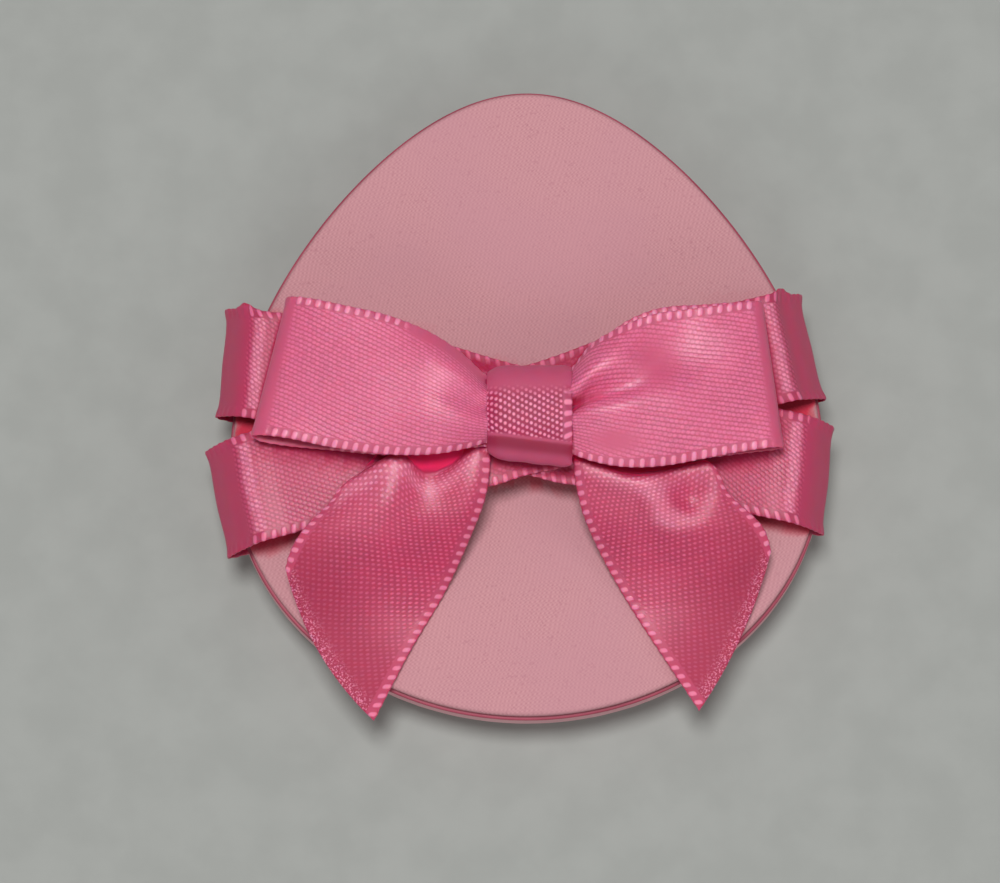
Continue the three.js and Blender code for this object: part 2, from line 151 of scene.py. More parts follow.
def egg_points(turn, inset=0.0, share=1.0):
    """The outline moved square to itself by an inset, then drawn in to the centre by a share."""
    nearby = math.pi / 1000
    along = egg_outline(turn + nearby) - egg_outline(turn - nearby)
    along /= np.linalg.norm(along, axis=-1, keepdims=True)
    outward = np.stack([-along[..., 1], along[..., 0]], -1)
    return (egg_outline(turn) - outward * inset) * share


def egg_area(inset):
    """Area inside the outline at an inset, in square metres."""
    x, y = egg_points(np.linspace(0, 2 * math.pi, 720, endpoint=False), inset).T
    return abs(np.dot(x, np.roll(y, 1)) - np.dot(y, np.roll(x, 1))) / 2 * MM * MM


print("egg area in square centimetres:", round(egg_area(0) * 1e4, 2))

# %% [markdown]
# ## Helpers for making objects
#
# A few small helpers are used by many pieces. One makes an object from points in millimetres and
# faces, with its origin at the world's origin. Two see to the selection before Blender's
# operators work, because an operator acts on whatever is selected. The others round sharp edges,
# smooth the shading, turn faces outwards and print what was made.

# %% Object helpers
def new_object(name, points, faces):
    """An object with its place in its mesh, from points in millimetres."""
    mesh = bpy.data.meshes.new(name)
    mesh.from_pydata((np.asarray(points, float) * MM).tolist(), [], faces)
    mesh.update()
    piece = bpy.data.objects.new(name, mesh)
    bpy.context.scene.collection.objects.link(piece)
    return piece


def clear_selection():
    """Leaves nothing selected."""
    for other in bpy.context.selected_objects:
        other.select_set(False)


def select_only(piece):
    """Makes a piece the only selected object and the active one."""
    clear_selection()
    piece.select_set(True)
    bpy.context.view_layer.objects.active = piece


def smooth(piece, angle=40):
    """Smooth shading, but with edges sharper than the angle kept crisp."""
    select_only(piece)
    bpy.ops.object.shade_smooth_by_angle(angle=math.radians(angle))


def round_edges(piece, width, segments=4, sharper_than=50):
    """Bevels the edges that are sharper than an angle, with a width in millimetres."""
    bevel = piece.modifiers.new("rounding", "BEVEL")
    bevel.width = width * MM
    bevel.segments = segments
    bevel.limit_method = "ANGLE"
    bevel.angle_limit = math.radians(sharper_than)
    bpy.ops.object.modifier_apply(modifier=bevel.name)


def face_outwards(piece):
    """Turns all faces of a closed mesh outwards."""
    mesh = bmesh.new()
    mesh.from_mesh(piece.data)
    bmesh.ops.recalc_face_normals(mesh, faces=mesh.faces)
    mesh.to_mesh(piece.data)
    mesh.free()


def report_piece(piece):
    """Prints a piece's name, its number of faces and its box."""
    points = np.array([v.co[:] for v in piece.data.vertices])
    low, high = points.min(axis=0), points.max(axis=0)
    print(piece.name, len(piece.data.polygons), "faces, box in mm",
          np.round(low / MM, 1).tolist(), np.round(high / MM, 1).tolist())


# %% [markdown]
# ## An egg-shaped slab, modelled as by hand
#
# The foam and the sheet of glue under the cover are slabs cut to the egg. A filled circle is
# added, its corners are pulled on to the outline, and the face is extruded to the slab's
# thickness. A bevel then rounds the cut edges, as a press leaves them.

# %% Egg slab
SLAB_CORNERS = 180
SLAB_INSET = 1.65
FOAM_BOTTOM = 1.25
FOAM_THICKNESS = 4.5
FOAM_ROUNDING = 1.2
MELT_BOTTOM = 6.1
MELT_THICKNESS = 0.35
MELT_ROUNDING = 0.12


def egg_disc(name, corners, inset, bottom):
    """A filled circle whose corners are pulled on to the egg outline."""
    clear_selection()
    bpy.ops.mesh.primitive_circle_add(vertices=corners, radius=1, fill_type="NGON")
    disc = bpy.context.active_object
    disc.name = disc.data.name = name
    turns = np.linspace(0, 2 * math.pi, corners, endpoint=False)
    for vertex, (x, y) in zip(disc.data.vertices, egg_points(turns, inset)):
        vertex.co = (x * MM, y * MM, bottom * MM)
    return disc


def extrude_all(thickness):
    """In edit mode, gives the whole mesh a thickness upwards and turns its faces outwards."""
    bpy.ops.mesh.select_all(action="SELECT")
    bpy.ops.mesh.extrude_region_move(TRANSFORM_OT_translate={"value": (0, 0, thickness * MM)})
    bpy.ops.mesh.select_all(action="SELECT")
    bpy.ops.mesh.normals_make_consistent(inside=False)


def egg_slab(name, inset, bottom, thickness, rounding):
    """A slab cut to the egg outline, with rounded edges; sizes in millimetres."""
    slab = egg_disc(name, SLAB_CORNERS, inset, bottom)
    bpy.ops.object.mode_set(mode="EDIT")
    extrude_all(thickness)
    bpy.ops.object.mode_set(mode="OBJECT")
    round_edges(slab, rounding)
    smooth(slab)
    report_piece(slab)
    return slab


foam_slab = egg_slab("foam_slab", SLAB_INSET, FOAM_BOTTOM, FOAM_THICKNESS, FOAM_ROUNDING)
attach(foam_slab, "puff")
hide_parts("foam_core")

glue_sheet = egg_slab("hot_melt_sheet", SLAB_INSET, MELT_BOTTOM, MELT_THICKNESS, MELT_ROUNDING)
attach(glue_sheet, "puff")
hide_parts("bonding_sheet")
egg_area(SLAB_INSET)

# %% [markdown]
# ## The cushion's film
#
# The applicator itself is a soft sponge in a skin of smooth film. On the real puff the film is
# drawn tight over the foam and swells gently between the flat face and the pressed rim. We start
# from the egg form, let a cloth simulation blow it up a little, and cap the swelling at a fifth
# of a millimetre. Then the top is cut off at the rim and the film gets its thickness, so that it
# is a cup round the foam as on the real puff.

# %% Surface swept round the egg
def sweep_round_egg(name, profile, corners, first_height, last_height):
    """A closed surface through rings, each an inset, a height and a share, with a middle point
    at either end."""
    turns = np.linspace(0, 2 * math.pi, corners, endpoint=False)
    points = [(0.0, 0.0, first_height)]
    for inset, z, share in profile:
        points += [(x, y, z) for x, y in egg_points(turns, inset, share)]
    points.append((0.0, 0.0, last_height))

    def at(ring, k):
        return 1 + ring * corners + k % corners

    last = len(profile) - 1
    faces = [(0, at(0, k + 1), at(0, k)) for k in range(corners)]
    for ring in range(last):
        faces += [(at(ring, k), at(ring, k + 1), at(ring + 1, k + 1), at(ring + 1, k))
                  for k in range(corners)]
    faces += [(len(points) - 1, at(last, k), at(last, k + 1)) for k in range(corners)]
    form = new_object(name, points, faces)
    face_outwards(form)
    return form


# %% Cushion form
SKIN_TOP = 7.2
SKIN_WALL = 0.8
CUSHION_CORNERS = 144
CUSHION_RINGS = 24
ROUND_STEPS = 8
FACE_INSET = 3.1
FACE_ROUND = 2.6
SIDE_INSET = 0.45
# inset and height up the side wall, which stands out most above its middle
SIDE_PROFILE = [(0.0, 3.6), (-0.3, 4.6), (-0.42, 5.6), (-0.34, 6.5), (0.15, 7.35)]
LID_INSET = 1.2
LID_HEIGHT = 7.6


def cushion_form(name):
    """The closed egg form that the film is drawn over, a little slimmer towards the face."""
    shares = np.linspace(1 / CUSHION_RINGS, 1, CUSHION_RINGS)
    profile = [(FACE_INSET, 0.0, share) for share in shares]
    for step in range(1, ROUND_STEPS + 1):
        angle = math.pi / 2 * step / ROUND_STEPS
        profile.append((SIDE_INSET + FACE_ROUND * (1 - math.sin(angle)),
                        FACE_ROUND * (1 - math.cos(angle)), 1.0))
    profile += [(inset, z, 1.0) for inset, z in SIDE_PROFILE]
    profile += [(LID_INSET, LID_HEIGHT, 1.0)]
    profile += [(LID_INSET, LID_HEIGHT, share)
                for share in np.linspace(0.96, 1 / CUSHION_RINGS, CUSHION_RINGS)]
    return sweep_round_egg(name, profile, CUSHION_CORNERS, 0.0, LID_HEIGHT)


cushion = cushion_form("cushion_film")
report_piece(cushion)

# %% Cloth swells the side wall
SWELL_LIMIT = 0.2
SIM_SCALE = 20.0
NET_SPACING = 0.9
HELD_BELOW = 0.25
HELD_ABOVE = 7.0
AIR_PRESSURE = 4
SWELL_FRAMES = 20


def swell_film(form):
    """Voxel remesh, then a pressure cloth that may move a point by the limit at most.

    The form is made larger for the simulation, because cloth works best on things of a metre or so.
    """
    select_only(form)
    form.data.transform(Matrix.Scale(SIM_SCALE, 4))
    remesh = form.modifiers.new("even net", "REMESH")
    remesh.mode = "VOXEL"
    remesh.voxel_size = NET_SPACING * MM * SIM_SCALE
    bpy.ops.object.modifier_apply(modifier=remesh.name)
    rest = np.array([v.co[:] for v in form.data.vertices])
    height = rest[:, 2] / SIM_SCALE / MM
    held = form.vertex_groups.new(name="held")
    still = np.flatnonzero((height > HELD_ABOVE) | (height < HELD_BELOW))
    held.add([int(i) for i in still], 1.0, "REPLACE")
    cloth = form.modifiers.new("swelling", "CLOTH")
    cloth.settings.use_pressure = True
    cloth.settings.uniform_pressure_force = AIR_PRESSURE
    cloth.settings.vertex_group_mass = held.name
    cloth.settings.effector_weights.gravity = 0
    scene = bpy.context.scene
    for number in range(1, SWELL_FRAMES + 1):
        scene.frame_set(number)
    bpy.ops.object.modifier_apply(modifier=cloth.name)
    moved = np.array([v.co[:] for v in form.data.vertices]) - rest
    scene.frame_set(1)
    length = np.linalg.norm(moved, axis=1, keepdims=True)
    limit = SWELL_LIMIT * MM * SIM_SCALE
    moved *= np.minimum(1, limit / np.maximum(length, 1e-9))
    points = (rest + moved) / SIM_SCALE
    form.data.vertices.foreach_set("co", points.ravel())
    form.data.update()
    form.vertex_groups.clear()
    furthest = float(length.max()) / SIM_SCALE / MM
    print("film swelled by at most", round(furthest, 3), "mm before the cap")


swell_film(cushion)

# %% [markdown]
# The top of the cushion is cut off square at the rim with a bisect, and Solidify gives the film
# its thickness inwards. The subdivision before it evens out the net that the remesh left, and at
# the end the cut edge is drawn true, because it shows as a line under the rim.

# %% Open the cup and give it a wall
select_only(cushion)
finer = cushion.modifiers.new("finer", "SUBSURF")
finer.levels = finer.render_levels = 1
bpy.ops.object.modifier_apply(modifier=finer.name)
bpy.ops.object.mode_set(mode="EDIT")
bpy.ops.mesh.select_all(action="SELECT")
bpy.ops.mesh.bisect(plane_co=(0, 0, SKIN_TOP * MM), plane_no=(0, 0, 1), clear_outer=True)
bpy.ops.object.mode_set(mode="OBJECT")
wall = cushion.modifiers.new("film wall", "SOLIDIFY")
wall.thickness = SKIN_WALL * MM
wall.offset = -1
bpy.ops.object.modifier_apply(modifier=wall.name)

# %% Draw the film's edge true
EDGE_SEEN = 0.3
EDGE_DRAWN_FROM = 6.2
EDGE_RAISED_FROM = 6.7
EDGE_RAISE = 0.24
EDGE_FADE = 0.5
TABS_MIDDLE_Y = -2.2
TABS_HALF = 14.2
TABS_FADE = 1.5


def true_edge(form):
    """Draws the film's upper edge true to the outline, and up to the rim except under the tabs of
    the bands."""
    x, y, z = np.array([v.co[:] for v in form.data.vertices]).T / MM
    outline = egg_points(np.linspace(0, 2 * math.pi, 1440, endpoint=False), 0)
    radius = np.interp(np.arctan2(x, y), np.arctan2(*outline.T), np.hypot(*outline.T),
                       period=2 * math.pi)
    far = np.maximum(np.hypot(x, y), 1e-6)
    insets, heights = zip(*SIDE_PROFILE[2:])
    wanted = radius - np.interp(z, heights, insets)
    share = np.clip((z - EDGE_DRAWN_FROM) / EDGE_FADE, 0, 1) * (far > radius - EDGE_SEEN)
    scale = (far + (wanted - far) * share) / far
    beside_tabs = np.clip((np.abs(y - TABS_MIDDLE_Y) - TABS_HALF) / TABS_FADE, 0, 1)
    near_rim = np.clip((z - EDGE_RAISED_FROM) / EDGE_FADE, 0, 1)
    z = np.maximum(z + EDGE_RAISE * near_rim * beside_tabs, 0)
    form.data.vertices.foreach_set("co", (np.stack([x * scale, y * scale, z], -1) * MM).ravel())
    print("film edge moved by at most", round(float(np.abs(far * (scale - 1)).max()), 2), "mm")


true_edge(cushion)
smooth(cushion, 50)
report_piece(cushion)
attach(cushion, "puff")
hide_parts("applicator_skin")

# %% [markdown]
# ## The pressed rim
#
# Between the film and the cover runs a flat ring where the layers were pressed together. Only
# its outer edge shows, as a thin darker line round the whole puff. We inset a filled egg, delete
# the middle, extrude the ring and round its outer edge.

# %% Pressed rim
SEAM_BOTTOM = 7.5
SEAM_THICKNESS = 0.5
SEAM_REACH = 2.6
SEAM_LIP = 0.22
SEAM_ROUNDING = 0.2
EDGE_CORNERS = 240


def pressed_rim():
    """The ring between the cushion and the cover."""
    ring = egg_disc("pressed_rim", EDGE_CORNERS, -SEAM_LIP, SEAM_BOTTOM)
    bpy.ops.object.mode_set(mode="EDIT")
    bpy.ops.mesh.select_all(action="SELECT")
    bpy.ops.mesh.inset(thickness=(SEAM_REACH + SEAM_LIP) * MM)
    bpy.ops.mesh.delete(type="FACE")
    extrude_all(SEAM_THICKNESS)
    bpy.ops.object.mode_set(mode="OBJECT")
    round_edges(ring, SEAM_ROUNDING)
    smooth(ring)
    report_piece(ring)
    return ring


rim = pressed_rim()
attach(rim, "puff")
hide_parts("edge_seam")

# %% [markdown]
# ## The woven cover
#
# The back of the puff is fine woven cloth glued tight over a firm board, so it is flat with a
# faint crown and a small soft edge. A profile is swept round the egg in mesh code: it runs from
# the middle of the underside, out to the rim, over the rounded edge and back to the middle.

# %% Woven cover
COVER_INSET = 0.14
COVER_BOTTOM = 8.05
COVER_EDGE = 9.2
COVER_CROWN = 0.5
COVER_CROWN_POWER = 2.2
COVER_ROUND = 0.5
COVER_RINGS = 36
# the underside reaches down inside the rim
PLUG_BOTTOM = 7.55
PLUG_INSET = SEAM_REACH + 0.25
UNDERSIDE_INSETS = (PLUG_INSET, 1.2, COVER_INSET + 0.15)
LOWER_EDGE_RISE = 0.2


def woven_cover():
    """A closed plate swept round the egg."""
    profile = [(PLUG_INSET, PLUG_BOTTOM, share) for share in np.linspace(0.15, 1, 6)]
    profile += [(inset, COVER_BOTTOM, 1.0) for inset in UNDERSIDE_INSETS]
    profile += [(COVER_INSET, COVER_BOTTOM + LOWER_EDGE_RISE, 1.0)]
    for step in range(ROUND_STEPS + 1):
        angle = math.pi / 2 * step / ROUND_STEPS
        profile.append((COVER_INSET + COVER_ROUND * (1 - math.cos(angle)),
                        COVER_EDGE - COVER_ROUND * (1 - math.sin(angle)), 1.0))
    for share in np.linspace(1, 0, COVER_RINGS, endpoint=False)[1:]:
        crown = COVER_CROWN * (1 - share ** COVER_CROWN_POWER)
        profile.append((COVER_INSET + COVER_ROUND, COVER_EDGE + crown, share))
    plate = sweep_round_egg("woven_cover", profile, EDGE_CORNERS, PLUG_BOTTOM, COVER_EDGE + COVER_CROWN)
    smooth(plate, 60)
    report_piece(plate)
    return plate


cover = woven_cover()
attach(cover, "puff")
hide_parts("back_cover")
egg_area(COVER_INSET)

# %% [markdown]
# ## How a ribbon is made
#
# All the satin pieces are ribbons, and a ribbon is easiest to shape as a net of a few control
# points: stations along it, and columns across it. A smooth curve through the stations and then
# through the columns gives a fine surface, which is eased a little along the ribbon, because
# satin bends gently and its gloss shows every jump. It gets the thickness of satin, and a row of
# small raised bars along both edges: the picot selvage. The place along and across is stored in
# the UV map in millimetres, so that the weave follows the ribbon round every fold.

# %% Smooth curve through points
def curve_through(points, knots, samples):
    """Cubic through points[i] at knots[i], read at the samples; works on whole arrays."""
    points, knots, samples = (np.asarray(values, float) for values in (points, knots, samples))
    gaps = np.diff(knots)
    wide = gaps.reshape((-1,) + (1,) * (points.ndim - 1))
    slopes = np.diff(points, axis=0) / wide
    tangents = np.empty_like(points)
    tangents[1:-1] = (slopes[1:] * wide[:-1] + slopes[:-1] * wide[1:]) / (wide[1:] + wide[:-1])
    tangents[0], tangents[-1] = slopes[0], slopes[-1]
    i = np.clip(np.searchsorted(knots, samples, side="right") - 1, 0, len(knots) - 2)
    shape = (-1,) + (1,) * (points.ndim - 1)
    t = ((samples - knots[i]) / gaps[i]).reshape(shape)
    span = gaps[i].reshape(shape)
    return ((2 * t ** 3 - 3 * t ** 2 + 1) * points[i] + (t ** 3 - 2 * t ** 2 + t) * span * tangents[i]
            + (3 * t ** 2 - 2 * t ** 3) * points[i + 1] + (t ** 3 - t ** 2) * span * tangents[i + 1])


def walk(points):
    """Length walked along an array of points, from 0 at the first."""
    steps = np.linalg.norm(np.diff(points, axis=0), axis=-1)
    return np.concatenate([[0], np.cumsum(steps)])


def unit(vectors):
    """The vectors at a length of 1."""
    return vectors / np.maximum(np.linalg.norm(vectors, axis=-1, keepdims=True), 1e-9)


# %% Fine surface of a ribbon
STEP_ALONG = 0.172
EASING_PASSES = 12
EDGE_PLACES = [0, 0.06, 0.2, 0.4, 0.6, 0.8, 0.95, 1.1]
MIDDLE_START = 1.4
MIDDLE_MARGINS = 2.6
MIDDLE_SPACING = 0.75


def across_samples(width):
    """Shares across a ribbon, closer together in the selvages than in the middle."""
    edge = np.array(EDGE_PLACES) / width
    count = max(4, int(round((width - MIDDLE_MARGINS) / MIDDLE_SPACING)))
    middle = np.linspace(MIDDLE_START / width, 1 - MIDDLE_START / width, count)
    return np.concatenate([edge, middle, 1 - edge[::-1]])


def fine_surface(net, columns, shares, relief):
    """The surface halfway through the cloth: the net read closely both ways, raised and eased."""
    net = np.asarray(net, float)
    lines = range(net.shape[1])
    knots = np.mean([walk(net[:, line]) for line in lines], axis=0)
    count = int(round(knots[-1] / STEP_ALONG))
    close = np.linspace(0, knots[-1], count * 2)
    rough = curve_through(net, knots, close)
    walked = np.mean([walk(rough[:, line]) for line in lines], axis=0)
    even = np.interp(np.linspace(0, walked[-1], count), walked, close)
    along = curve_through(net, knots, even)
    middle = curve_through(np.swapaxes(along, 0, 1), columns, shares).swapaxes(0, 1)
    if relief:
        middle[..., 2] += relief(middle[..., 0], middle[..., 1])
    for _ in range(EASING_PASSES):
        middle[1:-1] = (middle[:-2] + 2 * middle[1:-1] + middle[2:]) / 4
    return middle


# %% Selvages and faces of a ribbon
SATIN_HALF = 0.12
PICOT_PITCH = 1.03
PICOT_LENGTH = 0.95
PICOT_FADE = 0.25
PICOT_RISE = 0.05
PICOT_FULLNESS = 0.35
# how thick the cloth is at places from its edge, as shares of its thickness in the middle
EDGE_THICKNESS_PLACES = [0, 0.06, 0.2, 0.9, 1.4]
EDGE_THICKNESS_SHARES = [0.45, 0.8, 1.05, 1.1, 1.0]


def picot_shape(length_at, shares, from_edge, wanted):
    """Half the cloth's thickness at each point, and how far it stands out sideways there."""
    beat = np.clip(PICOT_FULLNESS + np.cos(2 * math.pi * (length_at / PICOT_PITCH - 0.5)), 0, 1)
    bar = beat * np.clip((PICOT_LENGTH - from_edge) / PICOT_FADE, 0, 1) * wanted
    thickness = np.interp(from_edge, EDGE_THICKNESS_PLACES, EDGE_THICKNESS_SHARES)
    half = SATIN_HALF * thickness + PICOT_RISE * bar * np.interp(from_edge, [0, 0.2], [0.35, 1])
    side = np.where(shares < 0.5, -1.0, 1.0)
    poke = PICOT_RISE * beat * wanted * np.clip(1 - from_edge / PICOT_FADE, 0, 1) * side
    return half, poke


def strip_faces(rows, cols):
    """Faces of a thin closed strip, whose upper points come first and then the lower ones."""
    top = np.arange(rows * cols).reshape(rows, cols)
    under = top + rows * cols
    quads = [np.stack([top[:-1, :-1], top[1:, :-1], top[1:, 1:], top[:-1, 1:]], -1),
             np.stack([under[:-1, :-1], under[:-1, 1:], under[1:, 1:], under[1:, :-1]], -1),
             np.stack([top[:-1, 0], under[:-1, 0], under[1:, 0], top[1:, 0]], -1),
             np.stack([top[:-1, -1], top[1:, -1], under[1:, -1], under[:-1, -1]], -1),
             np.stack([top[0, :-1], top[0, 1:], under[0, 1:], under[0, :-1]], -1),
             np.stack([top[-1, :-1], under[-1, :-1], under[-1, 1:], top[-1, 1:]], -1)]
    return np.concatenate([quad.reshape(-1, 4) for quad in quads]).tolist()


def add_cloth_layers(piece, along, across, layers):
    """The UV map in millimetres and named values for each point, the same on both faces."""
    along, across = np.tile(along.ravel(), 2), np.tile(across.ravel(), 2)
    corner = np.empty(len(piece.data.loops), int)
    piece.data.loops.foreach_get("vertex_index", corner)
    uv = piece.data.uv_layers.new(name="ribbon")
    uv.data.foreach_set("uv", np.stack([along[corner], across[corner]], -1).ravel())
    for name, values in layers.items():
        layer = piece.data.attributes.new(name, "FLOAT", "POINT")
        layer.data.foreach_set("value", np.tile(values.ravel(), 2))


# %% Ribbon from a net of control points
NO_SELVAGE = 5.0
NO_CUT = 50.0


def ribbon(name, net, columns, width, picots=(1, 1), smoothness_and_painted_light=None, relief=None, cut_end=False):
    """A satin ribbon through net[station][column], in millimetres; returns it and its length.

    smoothness_and_painted_light tells from a point's place how the satin looks there: 0 is the open
    weave, 1 is smooth, 2 is smooth with a painted shade, and below 0 it gets painted glints. relief
    tells how far the cloth stands above the net there. cut_end says that the last station is a raw cut.
    """
    shares = across_samples(width)
    middle = fine_surface(net, columns, shares, relief)
    rows, cols = middle.shape[:2]
    lower, upper = walk(middle[:, 0]), walk(middle[:, -1])
    length_at = lower[:, None] * (1 - shares) + upper[:, None] * shares
    across = np.gradient(middle, axis=1)
    normal = unit(np.cross(np.gradient(middle, axis=0), across))

    from_edge = np.minimum(shares, 1 - shares) * width
    wanted = np.where(shares < 0.5, picots[0], picots[1])
    half, poke = picot_shape(length_at, shares, from_edge, wanted)
    middle = middle + unit(across) * poke[..., None]
    points = np.concatenate([(middle + normal * half[..., None]).reshape(-1, 3),
                             (middle - normal * half[..., None]).reshape(-1, 3)])
    piece = new_object(name, points, strip_faces(rows, cols))
    add_cloth_layers(piece, length_at, np.tile(shares * width, (rows, 1)), {
        "from_edge": np.tile(np.where(wanted > 0, from_edge, NO_SELVAGE), (rows, 1)),
        "smoothness_and_painted_light": smoothness_and_painted_light(middle) if smoothness_and_painted_light else np.zeros((rows, cols)),
        "from_cut": length_at[-1] - length_at if cut_end else np.full((rows, cols), NO_CUT),
    })
    select_only(piece)
    bpy.ops.object.shade_smooth()
    report_piece(piece)
    return piece, (lower[-1] + upper[-1]) / 2


# %% [markdown]
# Where a ribbon is smooth or sparkles is painted by place, with two simple shapes: a ramp that
# climbs from 0 to 1, and a hill that falls off softly round a place or a line.

# %% Ramps and hills
def ramp(past, width):
    """0 up to a line, then a straight climb to 1 over a width."""
    return np.clip(past / width, 0, 1)


def hill(*distances_and_widths):
    """1 at a place, falling off softly; each distance from it comes with its width."""
    return np.exp(-sum((distance / width) ** 2 for distance, width in distances_and_widths))


# %% [markdown]
# ## The finger bands
#
# Two ribbons 11 mm wide cross over the middle of the cover, and two fingers slide under them.
# Each end is tucked between the cushion and the rim, comes out past the outline, folds up and
# bends over a crease on to the bridge. The lines of the frame's bands are repeated here, with
# more stations round the fold and a soft crown across.

# %% Finger bands
BAND_WIDTH = 11
BAND_TAB_Z = 7.35
BAND_CROSSING_Y = -2.2
BAND_SLOPES = {"falling": -0.196, "rising": 0.268}
BAND_LIFT = {"falling": 0.0, "rising": 0.6}
BAND_CREST = 14.6
BAND_CREASE = 11.8
BAND_ARCH_POWER = 2.6
BAND_FOLD_REACH = {
    ("falling", -1): (1.9, 4.1), ("falling", 1): (1.3, 1.4),
    ("rising", -1): (2.3, 2.7), ("rising", 1): (1.0, 2.2),
}
BAND_FOLD_DRAW = 0.65
# how far inside its outermost place the fold lies at each height, up to the crease
BAND_FOLD_LINE = [(0.7, BAND_TAB_Z), (0.12, BAND_TAB_Z + 0.3), (0.0, BAND_TAB_Z + 0.95),
                  (0.65, 9.6), (1.55, 11.05), (2.25, 11.85)]
BAND_TAB_LENGTH = 4.0
BAND_CREASE_INSET = 2.6
BAND_CREASE_ROUND = 0.7
BAND_CREASE_RISE = 0.2
BAND_BRIDGE_SHARES = (0.86, 0.66, 0.44, 0.27, 0.12)
BAND_CROWN = 0.35
BAND_PULL = 1.0
BAND_PULL_REACH = 7
BAND_TUCK = 0.4
BAND_TUCK_REACH = 1.8
# the station where the stiff upper selvage stands out, and how far
BAND_EARS = {"falling": 7, "rising": -8}
BAND_EAR = 0.6
BAND_COLUMNS = [0, 0.05, 0.15, 0.32, 0.5, 0.68, 0.85, 0.95, 1]


def band_y(name, x, share):
    """Height in plan of a band's line at x, for a share from -0.5 to 0.5 across it."""
    slope = BAND_SLOPES[name]
    return BAND_CROSSING_Y + slope * x + share * BAND_WIDTH * math.hypot(1, slope)


def rim_crossing(name, share, side):
    """Where a band's line meets the outline on one side."""
    turns = np.linspace(0, math.pi, 4001)
    outline = egg_outline(turns)
    gap = outline[:, 1] - np.array([band_y(name, side * x, share) for x in outline[:, 0]])
    return side * outline[np.argmax(gap < 0), 0]


def band_arch(name, x):
    """Height of a band between its creases."""
    share = abs(x) / (PUFF_WIDTH / 2)
    return BAND_CREST + BAND_LIFT[name] - (BAND_CREST - BAND_CREASE) * share ** BAND_ARCH_POWER


def band_fold(name, share, side):
    """How far a band's fold stands out past the outline; its middle is drawn in."""
    low, high = BAND_FOLD_REACH[name, side]
    return low + (high - low) * (share + 0.5) - BAND_FOLD_DRAW * (1 - (2 * share) ** 4)


def band_pull(x, share):
    """How far the bow draws a band down towards the tails, in the middle."""
    tuck = BAND_TUCK * math.exp(-(x / BAND_TUCK_REACH) ** 2) * max(0, -2 * share)
    return BAND_PULL * math.exp(-(x / BAND_PULL_REACH) ** 2) - tuck


def band_line(name, share):
    """One line along a band, from the left tab's end to the right tab's end."""
    halves = []
    for side in (-1, 1):
        rim_x = rim_crossing(name, share, side)
        fold = band_fold(name, share, side)
        crease = rim_x + side * (fold - BAND_CREASE_INSET)
        bend = crease - side * BAND_CREASE_ROUND
        half = [(rim_x - side * BAND_TAB_LENGTH, BAND_TAB_Z), (rim_x, BAND_TAB_Z)]
        half += [(rim_x + side * (fold - inside), z) for inside, z in BAND_FOLD_LINE]
        half += [(bend, band_arch(name, bend) + BAND_CREASE_RISE)]
        half += [(crease * s, band_arch(name, crease * s)) for s in BAND_BRIDGE_SHARES]
        halves.append(half)
    line = halves[0] + [(0, band_arch(name, 0))] + halves[1][::-1]
    crown = BAND_CROWN * (1 - 4 * share * share)
    points = [(x, band_y(name, x, share) - band_pull(x, share), z + crown * min(1, max(0, (z - 9) / 3)))
              for x, z in line]
    if share > 0.45:
        x, y, z = points[BAND_EARS[name]]
        points[BAND_EARS[name]] = (x, y + BAND_EAR, z)
    return points


def band_smoothness_and_painted_light(name):
    """The upright ends are smooth, the strip under the knot is smooth with a painted shade, and the
    cloth gets painted glints just inside the crease and by the knot."""
    slope = BAND_SLOPES[name]
    shares = np.linspace(-0.5, 0.5, 9)
    left, right = [[side * rim_crossing(name, share, side) + band_fold(name, share, side) - BAND_CREASE_INSET
                    for share in shares] for side in (-1, 1)]

    def smoothness_and_painted_light(points):
        x, y = points[..., 0], points[..., 1]
        share = (y - BAND_CROSSING_Y - slope * x) / BAND_WIDTH / math.hypot(1, slope)
        crease = np.where(x < 0, np.interp(share, shares, left), np.interp(share, shares, right))
        beyond = np.abs(x) - crease
        upright = ramp(beyond + 0.4, 0.5)
        bend = hill((beyond + 1.2, 0.55))
        knot_glint = 0.5 * hill((np.abs(x) - 6.0, 2.2)) * ramp(y - 2.0, 1)
        from_lower = (share + 0.5) * BAND_WIDTH
        under_knot = 2 * ramp(4.9 - np.abs(x), 0.4) * ramp(from_lower - 0.75, 0.3) * (y < -4)
        return under_knot + upright - bend - knot_glint

    return smoothness_and_painted_light


def finger_band(name):
    """A band with its fold at either end."""
    lines = [band_line(name, share - 0.5) for share in BAND_COLUMNS]
    net = np.swapaxes(np.array(lines), 0, 1)
    piece, length = ribbon(f"finger_band_{name}_satin", net, BAND_COLUMNS, BAND_WIDTH, smoothness_and_painted_light=band_smoothness_and_painted_light(name))
    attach(piece, "puff")
    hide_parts(f"finger_band_{name}")
    print(piece.name, "ribbon length", round(length, 1), "mm")
    return piece


band_falling = finger_band("falling")
band_rising = finger_band("rising")

# %% [markdown]
# ## The bow's loops
#
# One ribbon, 15 mm wide, makes both loops. It starts behind the knot, runs out under the left
# loop, turns at the end fold, comes back over the front, is pinched by the knot and does the same
# on the right. Each row below is one station: the lower edge and the upper edge in plan, a
# height, and how far the cloth stands above or below that height at each column. Near the knot
# the cloth is gathered, and the right loop has one deep crease along its middle.

# %% Loop stations
BOW_WIDTH = 15
LOOP_COLUMNS = [0, 0.14, 0.28, 0.4, 0.47, 0.53, 0.6, 0.72, 0.86, 1]
FLAT = [0] * 10

